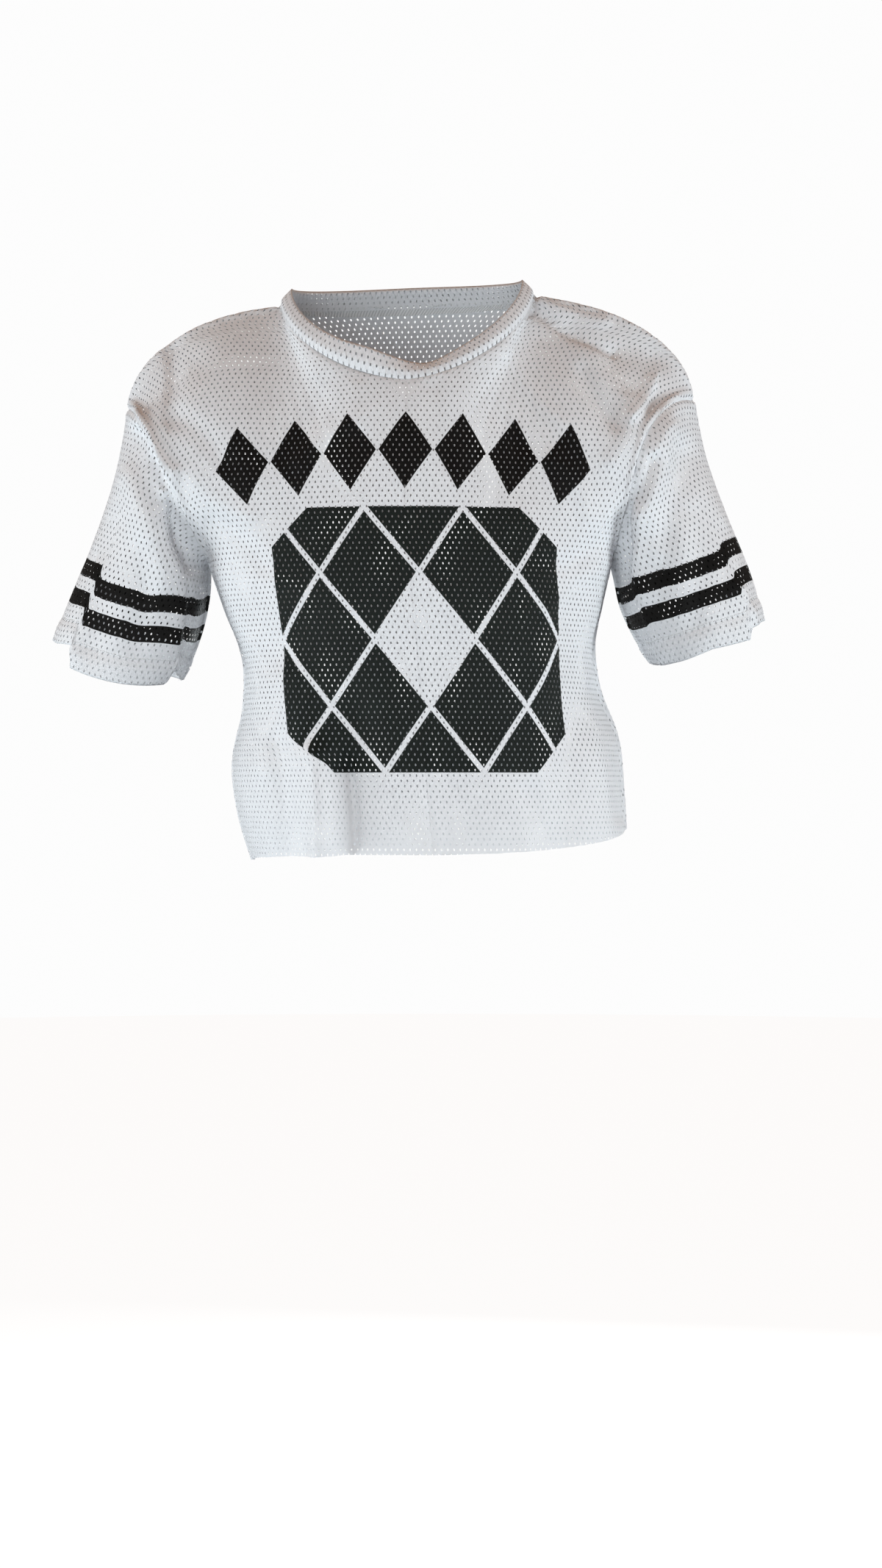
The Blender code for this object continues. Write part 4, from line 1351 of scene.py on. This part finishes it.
def thread_material(name, wrapped):
    """White polyester thread with painted shade in its hollows; wrapped is True where it is overlocked over
    an allowance.
    """
    material, tree, shader = new_material(name, THREAD_SHADER)
    if wrapped:
        place = flat_place(tree, (TAPE_UV["length"], TAPE_UV["width"] * TAPE_UV["rows"], 0))
        height = add_node(tree, "Group", {"Place": place}, node_tree=overlock_group()).outputs["Height"]
    else:
        place = add_node(tree, "TexCoord").outputs["Object"]
        height = add_node(tree, "TexNoise", {"Scale": THREAD_TWIST, "Vector": place}).outputs["Fac"]
    # The colour follows the relief, with painted shade where the thread sinks.
    colour_and_bump(tree, shader, mix(tree, height, THREAD_PAINTED_SHADE, THREAD), height, THREAD_BUMP)
    return material


threads = (thread_material("overlocked_thread", True), thread_material("stitch_thread", False))
for pieces in sewn.values():
    for piece, material in zip(pieces, threads):
        piece.data.materials.clear()
        piece.data.materials.append(material)

# %% [markdown]
# ## Attaching the cloth
#
# Each piece rides on the part's one body and stands in for its solid, which is hidden.
# Allowances and stitches ride on the same body as the piece that they are sewn to.


for name, piece in made.items():
    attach(piece, "root")
    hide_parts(name)
    for detail in sewn.get(name, []):
        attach(detail, "root")
    if name == "neckband":
        continue

# %% [markdown]
# ## Stage, light and camera
#
# The garment is seen from straight in front, from 2.2 m away. One large soft lamp stands on each side
# of it, and the ceiling is dim and warm, so cloth that faces up is darker and browner.

# %% Stage
FLOOR_HEIGHT = -1.40
FLOOR_RADIUS = 9
FLOOR = {"Base Color": (0.08, 0.08, 0.08, 1), "Roughness": 0.9,
         "Emission Color": (1, 1, 1, 1), "Emission Strength": 0.93}    # it glows as pale as the backdrop
bpy.ops.object.select_all(action="DESELECT")
bpy.ops.mesh.primitive_circle_add(vertices=96, radius=FLOOR_RADIUS, fill_type="NGON",
                                  location=(0, 0, FLOOR_HEIGHT))
floor = bpy.context.object
floor.name = "floor"
floor.data.materials.append(new_material("floor_pale", FLOOR)[0])
floor.visible_diffuse = False           # it sends no light up into the garment

# %% Light
SKY = [
    ("height", "red", "green", "blue"),
    (0.45, 0.09, 0.092, 0.10),
    (0.62, 0.12, 0.10, 0.09),
    (1.0, 0.55, 0.31, 0.18),
]
LAMPS = [
    ("name", "x", "y", "z", "size", "power"),
    ("front", -0.6, -2.5, -0.7, 1.3, 38),
    ("back", 0.5, 2.6, -0.3, 1.3, 56),
    ("right", -2.5, -0.6, -0.85, 1.2, 46),
    ("left", 2.5, -0.9, -0.8, 1.2, 56),
]
LAMP_AIM = (0, 0, -0.25)
LAMP_COLOUR = (0.89, 0.97, 1.0)
BACKDROP = (0.98, 0.98, 0.98, 1.0)

world = bpy.data.worlds.new("studio")
bpy.context.scene.world = world
world.use_nodes = True
sky = world.node_tree
direction = add_node(sky, "TexCoord").outputs["Generated"]
height = add_node(sky, "SeparateXYZ", {0: direction}).outputs[2]
ramp = add_node(sky, "ValToRGB", {0: calc(sky, "MULTIPLY_ADD", height, 0.5, 0.5)})
while len(ramp.color_ramp.elements) < len(SKY) - 1:
    ramp.color_ramp.elements.new(0.5)
for stop, (height, *colour) in zip(ramp.color_ramp.elements, SKY[1:]):
    stop.position = height
    stop.color = (*colour, 1)
seen = add_node(sky, "LightPath").outputs["Is Camera Ray"]
sky.links.new(mix(sky, seen, ramp.outputs[0], BACKDROP), sky.nodes["Background"].inputs[0])

for name, x, y, z, size, power in LAMPS[1:]:
    bpy.ops.object.light_add(type="AREA", location=(x, y, z))
    lamp = bpy.context.object
    lamp.name = "lamp_" + name
    lamp.data.size = size
    lamp.data.energy = power
    lamp.data.color = LAMP_COLOUR
    lamp.rotation_euler = (Vector(LAMP_AIM) - Vector((x, y, z))).to_track_quat("-Z", "Y").to_euler()

# %% Camera
MM_PER_PIXEL = 0.62
IMAGE = (1200, 2133)
ORIGIN_PIXEL = (555, 400)
DISTANCE = 2.2
SENSOR = 24
camera_data = bpy.data.cameras.new("camera")
camera_data.sensor_fit = "VERTICAL"
camera_data.sensor_height = SENSOR
camera_data.lens = SENSOR * DISTANCE / (IMAGE[1] * MM_PER_PIXEL * MM)
camera = bpy.data.objects.new("camera", camera_data)
bpy.context.scene.collection.objects.link(camera)
camera.location = ((IMAGE[0] / 2 - ORIGIN_PIXEL[0]) * MM_PER_PIXEL * MM, -DISTANCE,
                   -(IMAGE[1] / 2 - ORIGIN_PIXEL[1]) * MM_PER_PIXEL * MM)
camera.rotation_euler = (math.radians(90), 0, 0)
bpy.context.scene.camera = camera
bpy.context.scene.view_settings.view_transform = "Standard"
